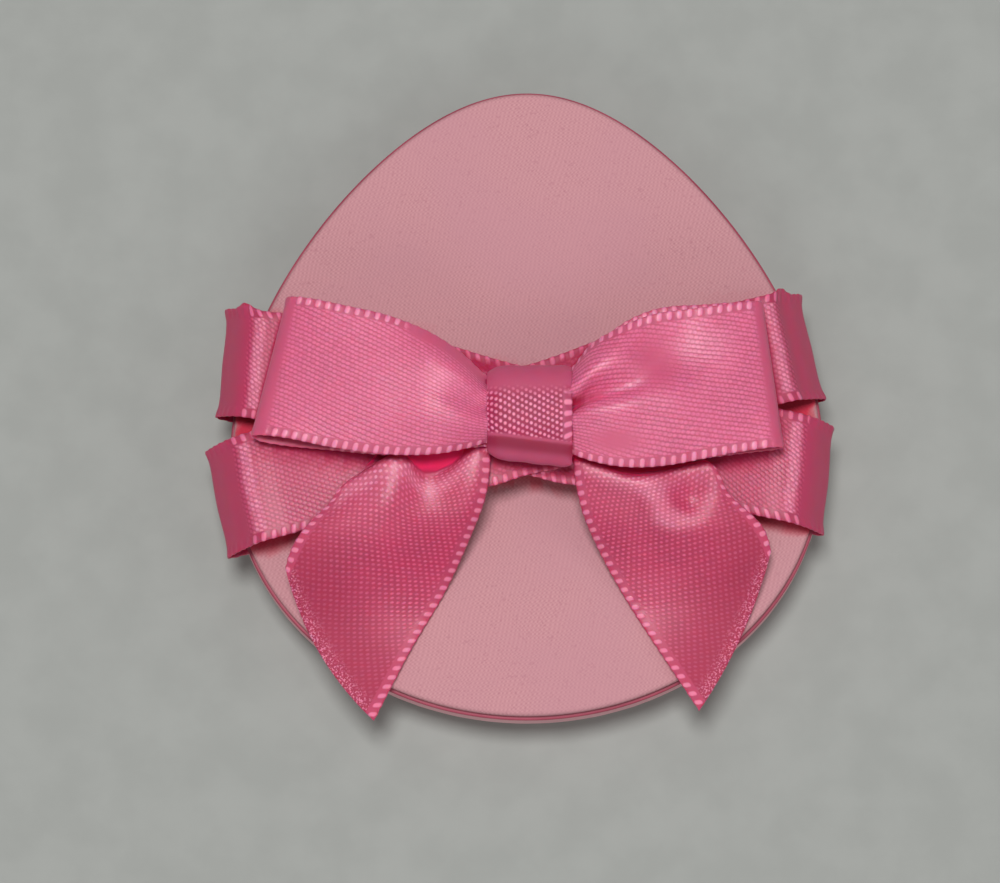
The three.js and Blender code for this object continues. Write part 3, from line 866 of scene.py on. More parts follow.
LOOP_STATIONS = [
    # lower edge x, y, upper edge x, y, height, rise at each column
    [(-0.4, -6.0), (-0.4, 0.4), 17.55, [0, 0.1, -0.1, 0.1, -0.1, 0.1, -0.1, 0.1, -0.1, 0]],
    [(-3.9, -6.0), (-3.9, 0.6), 17.55, [0, 0.2, -0.2, 0.2, -0.2, 0.2, -0.2, 0.2, -0.2, 0]],
    [(-5.8, -6.1), (-5.8, 2.6), 17.2, [0, 0.3, -0.1, 0.2, 0.1, 0.1, -0.1, 0.2, 0.1, 0]],
    [(-8.6, -6.4), (-8.6, 4.6), 16.8, FLAT],
    [(-12.7, -6.7), (-12.6, 6.6), 16.3, FLAT],
    [(-19.3, -6.1), (-18.5, 8.2), 15.75, FLAT],
    [(-24.6, -5.5), (-21.9, 8.8), 15.35, FLAT],
    [(-26.6, -5.1), (-23.2, 9.1), 15.3, FLAT],
    [(-27.3, -4.7), (-23.9, 9.2), 15.9, FLAT],
    [(-27.0, -4.75), (-23.65, 9.15), 16.6, FLAT],
    [(-26.3, -4.8), (-23.1, 9.05), 17.15, FLAT],
    [(-24.8, -5.0), (-22.2, 8.9), 17.6, [0, 0, 0, 0.05, 0.05, 0.05, 0.05, 0, 0, 0]],
    [(-19.3, -6.2), (-18.5, 8.0), 18.7, [-0.3, 0.05, 0.25, 0.35, 0.35, 0.35, 0.3, 0.15, 0.05, -0.15]],
    [(-12.6, -7.05), (-12.5, 6.35), 19.8, [-0.9, -0.1, 0.45, 0.65, 0.65, 0.6, 0.55, 0.4, 0.0, -0.6]],
    [(-8.5, -6.9), (-8.6, 4.5), 20.2, [-1.2, -0.1, 0.6, 0.8, 0.7, 0.6, 0.7, 0.75, 0.2, -1.0]],
    [(-6.0, -6.35), (-6.1, 2.75), 19.8, [-1.2, 0.0, 0.7, 0.5, 0.3, 0.35, 0.65, 0.8, 0.0, -1.1]],
    [(-3.8, -5.7), (-3.9, 0.8), 19.0, [-0.8, 0.1, 0.5, 0.1, -0.1, 0.0, 0.4, 0.4, -0.2, -0.8]],
    [(-0.4, -6.0), (-0.4, 0.4), 18.65, [0, 0.2, -0.1, 0.2, -0.1, 0.2, -0.1, 0.2, -0.1, 0]],
    [(0.8, -6.1), (0.8, 0.5), 18.65, [0, 0.2, -0.1, 0.2, -0.1, 0.2, -0.1, 0.2, -0.1, 0]],
    [(4.4, -6.85), (4.3, 1.45), 19.0, [-0.9, -0.4, 0.1, 0.6, 0.0, -1.7, -1.5, 1.0, 0.3, -0.9]],
    [(6.4, -7.6), (6.2, 3.8), 19.6, [-1.2, -0.6, 0.0, 0.7, 0.5, -1.3, -1.4, 1.15, 0.7, -0.7]],
    [(9.1, -8.15), (8.7, 5.25), 19.9, [-1.3, -0.6, 0.1, 0.8, 0.7, -0.7, -0.2, 0.9, 0.65, -0.3]],
    [(13.0, -8.1), (12.6, 6.9), 19.5, [-1.0, -0.15, 0.45, 0.75, 0.7, 0.4, -0.1, -0.5, -0.4, -0.15]],
    [(15.3, -7.75), (15.1, 7.35), 19.2, [-0.8, 0.0, 0.45, 0.65, 0.55, 0.2, -0.3, -0.7, -0.6, -0.25]],
    [(17.3, -7.35), (17.3, 7.65), 18.85, [-0.4, 0.1, 0.3, 0.4, 0.35, 0.2, -0.1, -0.35, -0.3, -0.1]],
    [(22.6, -6.3), (21.4, 8.4), 17.75, [-0.1, 0, 0.1, 0.15, 0.15, 0.15, 0.15, 0.1, 0, 0]],
    [(23.9, -6.1), (22.2, 8.5), 17.5, FLAT],
    [(24.7, -6.0), (22.8, 8.6), 17.1, FLAT],
    [(25.1, -5.95), (23.2, 8.7), 16.65, FLAT],
    [(25.4, -5.9), (23.4, 8.7), 15.95, FLAT],
    [(24.9, -5.95), (22.9, 8.75), 15.35, FLAT],
    [(22.8, -6.2), (21.2, 8.8), 15.35, FLAT],
    [(17.5, -6.9), (17.5, 8.5), 15.75, FLAT],
    [(13.0, -7.4), (12.6, 7.9), 16.35, FLAT],
    [(9.0, -7.3), (8.7, 5.9), 16.5, FLAT],
    [(6.2, -6.9), (6.1, 3.4), 16.6, [0, 0.2, 0, 0.1, 0, 0, 0.1, 0, 0.1, 0]],
    [(4.3, -6.5), (4.2, 1.1), 17.1, [0, 0.2, -0.2, 0.2, -0.2, 0.1, -0.2, 0.2, -0.2, 0]],
    [(0.8, -6.1), (0.8, 0.5), 17.55, [0, 0.1, -0.1, 0.1, -0.1, 0.1, -0.1, 0.1, -0.1, 0]],
]


def station_net(stations, columns):
    """Control net from rows of lower edge, upper edge, height and rises."""
    net = []
    for lower, upper, height, rises in stations:
        row = []
        for share, rise in zip(columns, rises):
            x = lower[0] + (upper[0] - lower[0]) * share
            y = lower[1] + (upper[1] - lower[1]) * share
            row.append((x, y, height + rise))
        net.append(row)
    return np.array(net)


# The upper half of the right loop hangs a little over its crease, at these stations and column.
OVERHANG_STATIONS = slice(19, 21)
OVERHANG_COLUMN = 7
OVERHANG = (0.0, -0.35, 0.0)

loop_net = station_net(LOOP_STATIONS, LOOP_COLUMNS)
loop_net[OVERHANG_STATIONS, OVERHANG_COLUMN] += OVERHANG


# %% Loops
LOOP_TOP_Z = 18
LOOP_FOLD_Z = 17.5


def loop_smoothness_and_painted_light(points):
    """The end folds are smooth, so are the hollow of the right loop and the slope below its ridge,
    and the left loop's upper selvage curls out of sight towards the knot. The ridge gets painted
    glints, and the crease over it a painted shade."""
    x, y, z = points[..., 0], points[..., 1], points[..., 2]
    folds = ramp(LOOP_FOLD_Z - z, 0.3) * (np.abs(x) > 20)
    upper_edge = np.interp(x, [-12.5, -8.6, -6.1, -3.9], [6.35, 4.5, 2.75, 0.8])
    curl = ramp(y - upper_edge + 1.5, 0.6) * ramp(x + 12.4, 1.5) * (x < -3.5)
    slope = 0.9 * hill((x - 8.8, 2.8), (y + 5.7, 1.3))
    hollow = 0.8 * hill((x - 12.6, 2.6), (y - 2.0, 2.8))
    ridge = 0.7 * hill((x - 11.5, 6.5), (y + 3.1 + 0.09 * (x - 6), 0.9)) * (x > 5)
    crease = 1.9 * hill((y + 1.85 - 0.23 * (x - 4.4), 0.5)) * ramp(8.2 - x, 2.2) * (x > 3)
    on_top = z > LOOP_TOP_Z
    smooth_parts = np.maximum(folds, np.maximum(curl, np.maximum(slope, hollow)) * on_top)
    return np.maximum(smooth_parts - ridge * on_top, crease * on_top * (crease > 0.3))


loops, loops_length = ribbon("bow_loops_satin", loop_net, LOOP_COLUMNS, BOW_WIDTH, smoothness_and_painted_light=loop_smoothness_and_painted_light)
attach(loops, "puff")
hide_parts("bow_loops")
print("loops ribbon length", round(loops_length, 1), "mm")

# %% [markdown]
# ## The tails
#
# A second piece of the same ribbon lies behind the knot, and its two ends hang down as tails.
# Each comes out under the loop, rises over a wavy crest and then falls from the finger band on to
# the cover, ending in a slanting cut. We lay down the crest first, point by point, and then the
# rows that lead from it to the cut, each from the inner edge to the outer one. Soft swellings and
# dimples are added on top. The light breaks on the crest and on the folds in many small glints,
# wider than an even gloss gives, so those places are marked to sparkle.

# %% Tail crests and rows
TAIL_COLUMNS = [0, 0.08, 0.17, 0.26, 0.35, 0.43, 0.5, 0.57, 0.65, 0.74, 0.83, 0.92, 1]
COVER_TOP = COVER_EDGE + COVER_CROWN
TAIL_FALL = 11
TAIL_ABOVE_COVER = 0.22
TAIL_ABOVE_BAND = 0.75
TAIL_HIDDEN_ABOVE_BAND = 0.72
TAIL_BANDS = {"left": "rising", "right": "falling"}

# x, y, height of the crest, from the inner edge to the outer edge
TAIL_CRESTS = {
    "left": [(-3.7, -4.8, 16.6), (-5.0, -5.6, 16.6), (-6.0, -6.8, 16.45), (-7.3, -8.1, 16.2),
             (-8.7, -9.0, 16.0), (-10.0, -9.3, 15.95), (-10.8, -9.0, 16.0), (-11.3, -8.2, 16.3),
             (-11.8, -7.2, 16.7), (-12.6, -6.8, 16.9), (-13.8, -7.0, 16.75), (-15.1, -7.8, 16.4),
             (-16.4, -8.6, 16.0), (-17.8, -9.3, 15.6), (-18.6, -10.1, 15.35)],
    "right": [(4.6, -6.9, 16.3), (5.8, -7.3, 16.5), (7.5, -7.9, 16.5), (8.9, -8.5, 16.4),
              (10.5, -8.9, 16.3), (12.5, -8.7, 16.2), (14.5, -8.2, 16.0), (16.3, -7.7, 16.0),
              (17.9, -7.4, 16.1), (18.7, -8.0, 15.8)],
}

# inner x, y, outer x, y, bow towards the tip, belly, how much of the crest's wave is left
TAIL_ROWS = {
    "left": [(-3.65, -8.0, -19.4, -11.2, 0.0, 0.45, 0.6), (-4.2, -11.1, -20.6, -12.4, 0.2, 0.7, 0.25),
             (-5.7, -14.6, -21.8, -13.6, 0.2, 0.7, 0.08), (-8.2, -19.6, -22.8, -14.9, 0.3, 0.5, 0),
             (-11.6, -25.4, -23.5, -16.3, 0.7, 0.35, 0), (-15.2, -32.4, -23.9, -17.6, 1.3, 0.2, 0)],
    "right": [(4.8, -9.3, 19.8, -10.2, 0.0, 0.35, 0.5), (5.5, -12.1, 21.1, -11.4, 0.2, 0.6, 0.2),
              (7.6, -16.4, 22.5, -12.6, 0.3, 0.7, 0.05), (10.3, -21.0, 23.4, -13.6, 0.4, 0.5, 0),
              (13.4, -25.8, 23.9, -14.7, 0.6, 0.35, 0), (17.1, -31.4, 24.2, -15.8, 0.8, 0.2, 0)],
}

# x, y, half width, half length, direction in degrees, height
TAIL_SWELLINGS = {
    "left": [(-5.3, -9.3, 1.2, 3.4, -100, 0.3), (-9.4, -11.2, 2.4, 1.9, 90, -0.55),
             (-13.4, -10.2, 1.5, 3.0, -118, 0.4)],
    "right": [(16.0, -10.8, 1.9, 1.7, 90, -0.95), (12.9, -11.2, 1.5, 3.0, -62, 0.65),
              (18.4, -10.9, 1.1, 2.2, -100, 0.3), (16.0, -13.9, 2.6, 1.2, 90, 0.35),
              (9.3, -9.4, 0.8, 3.4, -12, 0.35)],
}

# x, y, half width, half length, direction in degrees, share of sparkle
TAIL_SPARKLES = {
    "left": [(-14.6, -10.4, 1.6, 3.6, 48, 0.4), (-5.0, -8.2, 0.9, 2.8, -105, 0.3)],
    "right": [(12.4, -10.2, 1.1, 3.2, -58, 0.8), (14.8, -13.0, 0.9, 2.4, -5, 0.7),
              (17.9, -10.8, 0.8, 2.0, 65, 0.6), (8.5, -8.8, 0.7, 3.0, -15, 0.4)],
}
TAIL_CREST_SPARKLE = {"left": 0.6, "right": 0.35}
MOST_SPARKLE = 0.8


# %% Tail surface
def tail_height(name, x, y):
    """Height of a tail's cloth: on its band, then falling from the band's edge to the cover."""
    band = TAIL_BANDS[name]
    rest = COVER_TOP + TAIL_ABOVE_COVER
    on_band = band_arch(band, x) + TAIL_ABOVE_BAND
    past = min(1, max(0, (band_y(band, x, -0.5) - y) / TAIL_FALL))
    return rest + (on_band - rest) * (1 + math.cos(math.pi * past)) / 2


def patches(rows, x, y):
    """Sum of soft oval hills at places; each row gives its place, half sizes, direction, height."""
    total = np.zeros_like(x)
    for middle_x, middle_y, half_width, half_length, degrees, height in rows:
        turn = math.radians(degrees)
        along = (x - middle_x) * math.cos(turn) + (y - middle_y) * math.sin(turn)
        across = (y - middle_y) * math.cos(turn) - (x - middle_x) * math.sin(turn)
        total += height * hill((along, half_length), (across, half_width))
    return total


def tail_crest(name):
    """The crest, read at the tail's columns."""
    crest = np.array(TAIL_CRESTS[name])
    far = walk(crest)
    return curve_through(crest, far, np.array(TAIL_COLUMNS) * far[-1])


def hidden_rows(name, crest):
    """Three rows on the band behind the crest: by the knot, under the loop, and close behind."""
    columns = np.array(TAIL_COLUMNS)
    level = np.zeros_like(columns)
    floor_z = np.array([band_arch(TAIL_BANDS[name], x) for x in crest[:, 0]]) + TAIL_HIDDEN_ABOVE_BAND
    by_knot = crest * (0.5, 0, 0) + np.stack([level, level - 1.8, floor_z], -1)
    under_loop = crest * (0.72, 0.2, 0) + np.stack([level, level - 2.6, floor_z], -1)
    behind = crest * (0.95, 1, 0) + np.stack([level, 0.9 - 0.4 * columns, floor_z], -1)
    return [by_knot, under_loop, behind]


def tail_net(name, crest, side):
    """The hidden rows, the crest, and the rows from it to the cut, which lose the crest's wave."""
    columns = np.array(TAIL_COLUMNS)[:, None]
    wave = crest - (crest[0] * (1 - columns) + crest[-1] * columns)
    excess = crest[:, 2] - [tail_height(name, x, y) for x, y in crest[:, :2]]
    net = hidden_rows(name, crest) + [crest]
    for inner_x, inner_y, outer_x, outer_y, bow, belly, left in TAIL_ROWS[name]:
        inner, outer = np.array((inner_x, inner_y)), np.array((outer_x, outer_y))
        along = (outer - inner) / np.linalg.norm(outer - inner)
        towards_tip = np.array([side * along[1], -side * along[0]])
        row = []
        for k, share in enumerate(TAIL_COLUMNS):
            spot = inner * (1 - share) + outer * share
            spot = spot + towards_tip * bow * 4 * share * (1 - share) + wave[k, :2] * left
            crown = belly * math.sin(math.pi * share) ** 0.8
            row.append((*spot, tail_height(name, *spot) + crown + excess[k] * left))
        net.append(np.array(row))
    return net


def tail_smoothness_and_painted_light(name, crest):
    """Behind the crest the satin shows no weave and gets a painted crimson shade from the finish, and on the
    crest and the folds it gets painted glints.
    """
    crest = crest[np.argsort(crest[:, 0])]

    def smoothness_and_painted_light(points):
        x, y = points[..., 0], points[..., 1]
        before = np.interp(x, crest[:, 0], crest[:, 1]) - y
        sparkle = TAIL_CREST_SPARKLE[name] * hill((before - 0.9, 1.0)) + patches(TAIL_SPARKLES[name], x, y)
        return ramp(-before - 0.1, 0.9) - np.minimum(sparkle, MOST_SPARKLE) * (before > -0.3)

    return smoothness_and_painted_light


def tail(name):
    """A tail of the bow, from behind the knot to its cut end."""
    side = -1 if name == "left" else 1
    crest = tail_crest(name)
    piece, length = ribbon(f"bow_tail_{name}_satin", tail_net(name, crest, side), TAIL_COLUMNS, BOW_WIDTH,
                           smoothness_and_painted_light=tail_smoothness_and_painted_light(name, crest), cut_end=True,
                           relief=lambda x, y: patches(TAIL_SWELLINGS[name], x, y))
    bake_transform(piece)
    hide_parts(f"bow_tail_{name}")
    print(piece.name, "ribbon length", round(length, 1), "mm")
    return piece


tail_left = tail("left")
tail_right = tail("right")

# %% [markdown]
# ## The knot
#
# The middle of the bow is wrapped with a short length of the same satin. Its left edge is turned
# under and the right one shows its picots. The wrap is a ring round the pinched loops: a profile
# in the upright plane, carried across the bow, a little smaller at both edges where it is drawn
# in, and rippled by two soft pleats.

# %% Knot wrap
KNOT_PROFILE = [
    # y, z round the wrap, beginning and ending under the bow
    (-2.9, 16.5), (-0.6, 16.5), (1.2, 16.75), (1.95, 17.6), (1.75, 18.7), (0.9, 19.65), (-0.8, 20.15),
    (-3.0, 20.2), (-5.2, 19.85), (-6.9, 19.1), (-7.75, 18.1), (-7.5, 17.1), (-6.2, 16.55), (-4.4, 16.5),
    (-3.1, 16.5),
]
KNOT_COLUMNS = [0, 0.1, 0.25, 0.42, 0.58, 0.75, 0.9, 1]
# how far each column is drawn in towards the middle of the ring
KNOT_SHRINK = [0.75, 0.25, 0.02, 0.1, 0.0, 0.08, 0.05, 0.3]
KNOT_MIDDLE_Y = -2.9
KNOT_MIDDLE_Z = 18.3
KNOT_LEFT = -3.9
KNOT_RIGHT = 4.4
KNOT_SLANT = 0.11
KNOT_WIDTH = 8.6


def knot_smoothness_and_painted_light(points):
    """The knot is smooth on top, and smooth with a painted shade where it rolls under; its weave shows
    in between."""
    x, y, z = points[..., 0], points[..., 1], points[..., 2]
    below = -5.4 - 0.12 * x - y
    roll = ramp(below + 0.25, 0.5) * (1 + hill((below - 0.7, 0.8)))
    return np.maximum(ramp(y + 1.6, 1.6), np.maximum(roll, ramp(KNOT_MIDDLE_Z - z, 0.6)))


def knot_net():
    """The profile at each column, drawn in at the edges and slanting down to the right in front."""
    net = []
    for y, z in KNOT_PROFILE:
        inwards = np.array([KNOT_MIDDLE_Y - y, KNOT_MIDDLE_Z - z])
        inwards /= np.linalg.norm(inwards)
        in_front = ramp(-y - 3, 4)
        row = []
        for share, shrink in zip(KNOT_COLUMNS, KNOT_SHRINK):
            x = KNOT_LEFT + (KNOT_RIGHT - KNOT_LEFT) * share
            drop = -KNOT_SLANT * (x - 0.3) * in_front
            row.append((x, y + drop + inwards[0] * shrink, z + inwards[1] * shrink))
        net.append(row)
    return net


knot, knot_length = ribbon("knot_wrap_satin", knot_net(), KNOT_COLUMNS, KNOT_WIDTH, picots=(0, 1),
                            smoothness_and_painted_light=knot_smoothness_and_painted_light)
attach(knot, "puff")
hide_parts("knot_wrap")
print("knot ribbon length", round(knot_length, 1), "mm")

# %% [markdown]
# ## How sheltered each point lies
#
# Between two layers of satin the light bounces to and fro, and what comes out has lost its green
# and its blue: the gaps under the bow glow crimson. A renderer needs many bounces for that, and an
# exported model never shows it. So the glow is painted into the colour as a crimson shade, from a
# value measured once as a property of the cloth's place: from each point on an upper side a fan of
# rays goes up, and the share that meets the bow or a band is stored. The finishes read it later to
# paint the shade. The tails move, so they shelter nothing here.

# %% Shelter
SHELTER_REACH = 8
SHELTER_RAYS = 18
SKY_CONE = 0.62
GOLDEN_TURN = math.pi * (3 - math.sqrt(5))
RAY_START = 0.08
TOO_NEAR = 0.3
LOWEST_NORMAL = -0.2
GRAZING = 0.05


def sky_rays():
    """Directions spread evenly over a wide cone round straight up."""
    rays = []
    for k in range(SHELTER_RAYS):
        height = 1 - SKY_CONE * (k + 0.5) / SHELTER_RAYS
        level, turn = math.sqrt(1 - height * height), k * GOLDEN_TURN
        rays.append(Vector((level * math.cos(turn), level * math.sin(turn), height)))
    return rays


def ray_net(pieces):
    """One search tree over the faces of several pieces."""
    points, faces = [], []
    for piece in pieces:
        first = len(points)
        points += [v.co[:] for v in piece.data.vertices]
        faces += [[first + i for i in face.vertices] for face in piece.data.polygons]
    return BVHTree.FromPolygons(points, faces)


def measure_shelter(piece, net, rays):
    """Stores for each point the share of its sky that the net's pieces hide."""
    values = []
    for vertex in piece.data.vertices:
        normal, blocked, whole = vertex.normal, 0.0, 0.0
        start = vertex.co + normal * (RAY_START * MM)
        for ray in rays if normal.z > LOWEST_NORMAL else ():
            facing = normal.dot(ray)
            if facing > GRAZING:
                whole += facing
                distance = net.ray_cast(start, ray, SHELTER_REACH * MM)[3]
                if distance is not None and distance > TOO_NEAR * MM:
                    blocked += facing
        values.append(blocked / whole if whole else 0.0)
    layer = piece.data.attributes.new("shelter", "FLOAT", "POINT")
    layer.data.foreach_set("value", values)
    print(piece.name, "mean shelter", round(sum(values) / len(values), 3))


shelter_net = ray_net([loops, knot, band_falling, band_rising])
shelter_rays = sky_rays()
for piece in (loops, knot, band_falling, band_rising, tail_left, tail_right, cover):
    measure_shelter(piece, shelter_net, shelter_rays)

# %% [markdown]
# ## The gathering thread and the dot of glue
#
# Inside the knot, three turns of thread hold the pinched loops. A curve with a round bevel is
# the natural way to make thread: it is drawn round the pinch and turned into a mesh. The bow is
# held to the bands by a dot of hot glue, which is a cylinder rounded over by bevels and spread
# a little unevenly.

# %% Gathering thread
THREAD_RADIUS = 0.14
THREAD_TURNS = 3
THREAD_STEPS = 48
THREAD_FIRST_X = -0.15
THREAD_SPACING = 0.3
# middle and half sizes in y and z, and how square the turns are, where 1 is round
THREAD_MIDDLE = (-2.8, 18.1)
THREAD_HALF = (3.95, 1.2)
THREAD_SQUARENESS = 0.45


def gathering_thread():
    """Three turns of thread round the pinch."""
    curve_data = bpy.data.curves.new("gathering_thread", "CURVE")
    curve_data.dimensions = "3D"
    curve_data.bevel_depth = THREAD_RADIUS * MM
    curve_data.bevel_resolution = 3
    curve_data.use_fill_caps = True
    spline = curve_data.splines.new("POLY")
    spline.points.add(THREAD_TURNS * THREAD_STEPS)
    for k, point in enumerate(spline.points):
        angle = 2 * math.pi * k / THREAD_STEPS
        y, z = [math.copysign(abs(v) ** THREAD_SQUARENESS, v) for v in (math.cos(angle), math.sin(angle))]
        place = (THREAD_FIRST_X + THREAD_SPACING * k / THREAD_STEPS,
                 THREAD_MIDDLE[0] + y * THREAD_HALF[0], THREAD_MIDDLE[1] + z * THREAD_HALF[1])
        point.co = (*[v * MM for v in place], 1)
    curve = bpy.data.objects.new("gathering_thread", curve_data)
    bpy.context.scene.collection.objects.link(curve)
    select_only(curve)
    bpy.ops.object.convert(target="MESH")
    turns = bpy.context.active_object
    smooth(turns, 60)
    report_piece(turns)
    return turns


thread = gathering_thread()
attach(thread, "puff")
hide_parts("gather_thread")


# %% Dot of glue
GLUE_RADIUS = 3.1
GLUE_HEIGHT = 0.55
GLUE_X, GLUE_Y, GLUE_Z = 0.3, -2.2, 16.02
GLUE_CORNERS = 48
GLUE_SHOULDER = 0.9
GLUE_ROUNDING = 0.2
GLUE_FLATTENING = 0.9


def glue_dot():
    """A cylinder rounded over and spread unevenly."""
    clear_selection()
    bpy.ops.mesh.primitive_cylinder_add(vertices=GLUE_CORNERS, radius=GLUE_RADIUS * MM,
                                        depth=GLUE_HEIGHT * MM,
                                        location=(GLUE_X * MM, GLUE_Y * MM, GLUE_Z * MM))
    dot = bpy.context.active_object
    dot.name = dot.data.name = "bow_glue_dot"
    bpy.ops.object.transform_apply(location=True, rotation=True, scale=True)
    bpy.ops.object.mode_set(mode="EDIT")
    bpy.ops.mesh.select_all(action="SELECT")
    bpy.ops.mesh.inset(thickness=GLUE_SHOULDER * MM, use_individual=False)
    bpy.ops.object.mode_set(mode="OBJECT")
    round_edges(dot, GLUE_ROUNDING, segments=3)
    for vertex in dot.data.vertices:
        x, y = vertex.co.x / MM - GLUE_X, vertex.co.y / MM - GLUE_Y
        angle = math.atan2(y, x)
        spread = 1 + 0.06 * math.sin(3 * angle + 0.4) + 0.04 * math.sin(5 * angle + 1.9)
        vertex.co.x = (GLUE_X + x * spread) * MM
        vertex.co.y = (GLUE_Y + y * spread * GLUE_FLATTENING) * MM
    smooth(dot, 50)
    report_piece(dot)
    return dot


glue = glue_dot()
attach(glue, "puff")
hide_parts("bow_glue_pad")

# %% [markdown]
# ## Finishes: a few helpers for nodes
#
# Every finish is a Principled shader fed by small patterns. The helpers below turn an everyday
# colour of 0 to 255 into the linear numbers that a shader wants, add a node, read a place or a
# stored value, and do a step of arithmetic, because a pattern is arithmetic on places.

# %% Colours
def colour(red, green, blue):
    """Linear colour from everyday 0 to 255 values."""
    linear = [(v / 255 / 12.92) if v / 255 <= 0.04045 else ((v / 255 + 0.055) / 1.055) ** 2.4
              for v in (red, green, blue)]
    return (*linear, 1)


def dimmed(tone, share):
    """A colour at a share of its strength."""
    return (*(c * share for c in tone[:3]), 1)


def between(first, second, share):
    """A colour that is a share of the way from the first to the second."""
    return (*((1 - share) * a + share * b for a, b in zip(first[:3], second[:3])), 1)


# %% Node helpers
def new_finish(name, roughness, **constants):
    """A material with its even properties set directly on the shader."""
    material = bpy.data.materials.new(name)
    material.use_nodes = True
    shader = material.node_tree.nodes["Principled BSDF"]
    shader.inputs["Roughness"].default_value = roughness
    for key, value in constants.items():
        shader.inputs[key.replace("_", " ")].default_value = value
    return material, material.node_tree, shader


def node(tree, kind, inputs=None, **settings):
    """A node with its settings, its inputs given as numbers or as other nodes' outputs."""
    made = tree.nodes.new(kind)
    for key, value in settings.items():
        setattr(made, key, value)
    for key, value in (inputs or {}).items():
        if isinstance(value, bpy.types.NodeSocket):
            tree.links.new(value, made.inputs[key])
        else:
            made.inputs[key].default_value = value
    return made


def object_place(tree):
    """The place in the object, in metres."""
    return node(tree, "ShaderNodeTexCoord").outputs["Object"]


def stored(tree, name):
    """A value that is stored for each point of the mesh."""
    return node(tree, "ShaderNodeAttribute", attribute_name=name).outputs["Fac"]


def step(tree, operation, first, second=0.0, third=0.0):
    """One step of arithmetic; returns its output."""
    return node(tree, "ShaderNodeMath", {0: first, 1: second, 2: third}, operation=operation).outputs[0]


def plus(tree, first, second):
    return step(tree, "ADD", first, second)


def minus(tree, first, second):
    return step(tree, "SUBTRACT", first, second)


def times(tree, first, second):
    return step(tree, "MULTIPLY", first, second)


def over(tree, first, second):
    return step(tree, "DIVIDE", first, second)


def vector_step(tree, operation, first, second):
    """One step of arithmetic on vectors; returns the node's outputs."""
    return node(tree, "ShaderNodeVectorMath", {0: first, 1: second}, operation=operation).outputs


def fade(tree, value, start, end, low=0.0, high=1.0):
    """A soft step from low to high as the value goes from start to end."""
    made = node(tree, "ShaderNodeMapRange", {"Value": value, "From Min": start, "From Max": end,
                                             "To Min": low, "To Max": high}, interpolation_type="SMOOTHSTEP")
    return made.outputs["Result"]


def blend_colours(tree, share, first, second):
    """A mix of two colours, each a colour or an output."""
    return node(tree, "ShaderNodeMix", {0: share, 6: first, 7: second}, data_type="RGBA").outputs[2]


def noise(tree, place, scale, detail=2.0, roughness=0.5):
    """Soft noise from 0 to 1 at a place."""
    return node(tree, "ShaderNodeTexNoise", {"Vector": place, "Scale": scale, "Detail": detail,
                                             "Roughness": roughness}).outputs["Fac"]


def emboss(tree, shader, height, depth_mm, strength=1.0):
    """Feeds a height pattern into the shader as bump, with its depth in millimetres."""
    bump = node(tree, "ShaderNodeBump", {"Height": height, "Distance": depth_mm * MM, "Strength": strength})
    tree.links.new(bump.outputs["Normal"], shader.inputs["Normal"])


def put_on(material, *pieces):
    """Gives the pieces this material and no other."""
    for piece in pieces:
        piece.data.materials.clear()
        piece.data.materials.append(material)


# %% [markdown]
# ## Satin
#
# This satin shows its weave as rows of small bright floats on a deeper ground. The floats sit in
# slanting rows, each row shifted against the last like bricks, so we turn the UV place into a
# place along the row and across it, and look how far the middle of the nearest float is. On the
# loops and bands the floats are long and almost join into cords, on the tails and the knot they
# are round. The selvage has rounded bars, one every millimetre, which lie exactly on the raised
# bars of the mesh.

# %% Floats and bars
BAR_HALF_WIDTH = 0.25


def floats_in_rows(tree, uv, slant, spacing, gap, shift, half_long, half_wide):
    """1 on a float and 0 between floats; rows run at a slant in degrees, sizes are in millimetres."""
    turn = math.radians(slant)
    along = vector_step(tree, "DOT_PRODUCT", uv, (math.cos(turn), math.sin(turn), 0))["Value"]
    across = vector_step(tree, "DOT_PRODUCT", uv, (-math.sin(turn), math.cos(turn), 0))["Value"]
    rows = over(tree, across, gap)
    from_row = times(tree, minus(tree, step(tree, "FRACT", rows), 0.5), gap / half_wide)
    shifted = step(tree, "MULTIPLY_ADD", step(tree, "FLOOR", rows), -shift, along)
    in_row = step(tree, "FRACT", over(tree, shifted, spacing))
    from_middle = times(tree, minus(tree, in_row, 0.5), spacing / half_long)
    squares = plus(tree, times(tree, from_row, from_row), times(tree, from_middle, from_middle))
    return fade(tree, step(tree, "SQRT", squares), 0.35, 1.1, 1.0, 0.0)


def picot_bars(tree, uv, edge, bar_middle, bar_half):
    """1 on the selvage's bars; their middle and half length are measured from the edge."""
    along = node(tree, "ShaderNodeSeparateXYZ", {0: uv}).outputs["X"]
    beat = minus(tree, step(tree, "FRACT", over(tree, along, PICOT_PITCH)), 0.5)
    beat = times(tree, beat, PICOT_PITCH / BAR_HALF_WIDTH)
    reach = over(tree, minus(tree, edge, bar_middle), bar_half)
    reach = step(tree, "POWER", step(tree, "ABSOLUTE", reach), 4.0)
    return fade(tree, plus(tree, times(tree, beat, beat), reach), 0.2, 1.7, 1.0, 0.0)


# %% [markdown]
# Colour is laid on in layers. Inside the selvages the cloth goes from ground and floats to a
# smooth middling colour where it is calm, to a painted shade in tight folds, under the knot and
# where the knot rolls under, and to painted glints where light would break on it. Towards a raw
# cut it darkens and frays. Last, the shelter that was measured above paints the gaps with a
# crimson glow, a painted shade for light bounced between the layers, and takes their gloss away.
# Some light also scatters inside the cloth, which keeps its shadows warm.

# %% Layers of colour
# Painted light: the fold shade, the glint colour and the two crimson glows stand for shade, highlights and
# light bounced between the layers.
PAINTED_FOLD_SHADE_COLOUR = colour(150, 34, 68)
GLINT_COLOUR = colour(246, 160, 188)
CUT_COLOUR = colour(164, 30, 72)
FRAY_COLOUR = colour(236, 150, 182)
PAINTED_GLOW_COLOUR = colour(176, 8, 72)
INNERMOST_PAINTED_GLOW_COLOUR = colour(246, 14, 96)


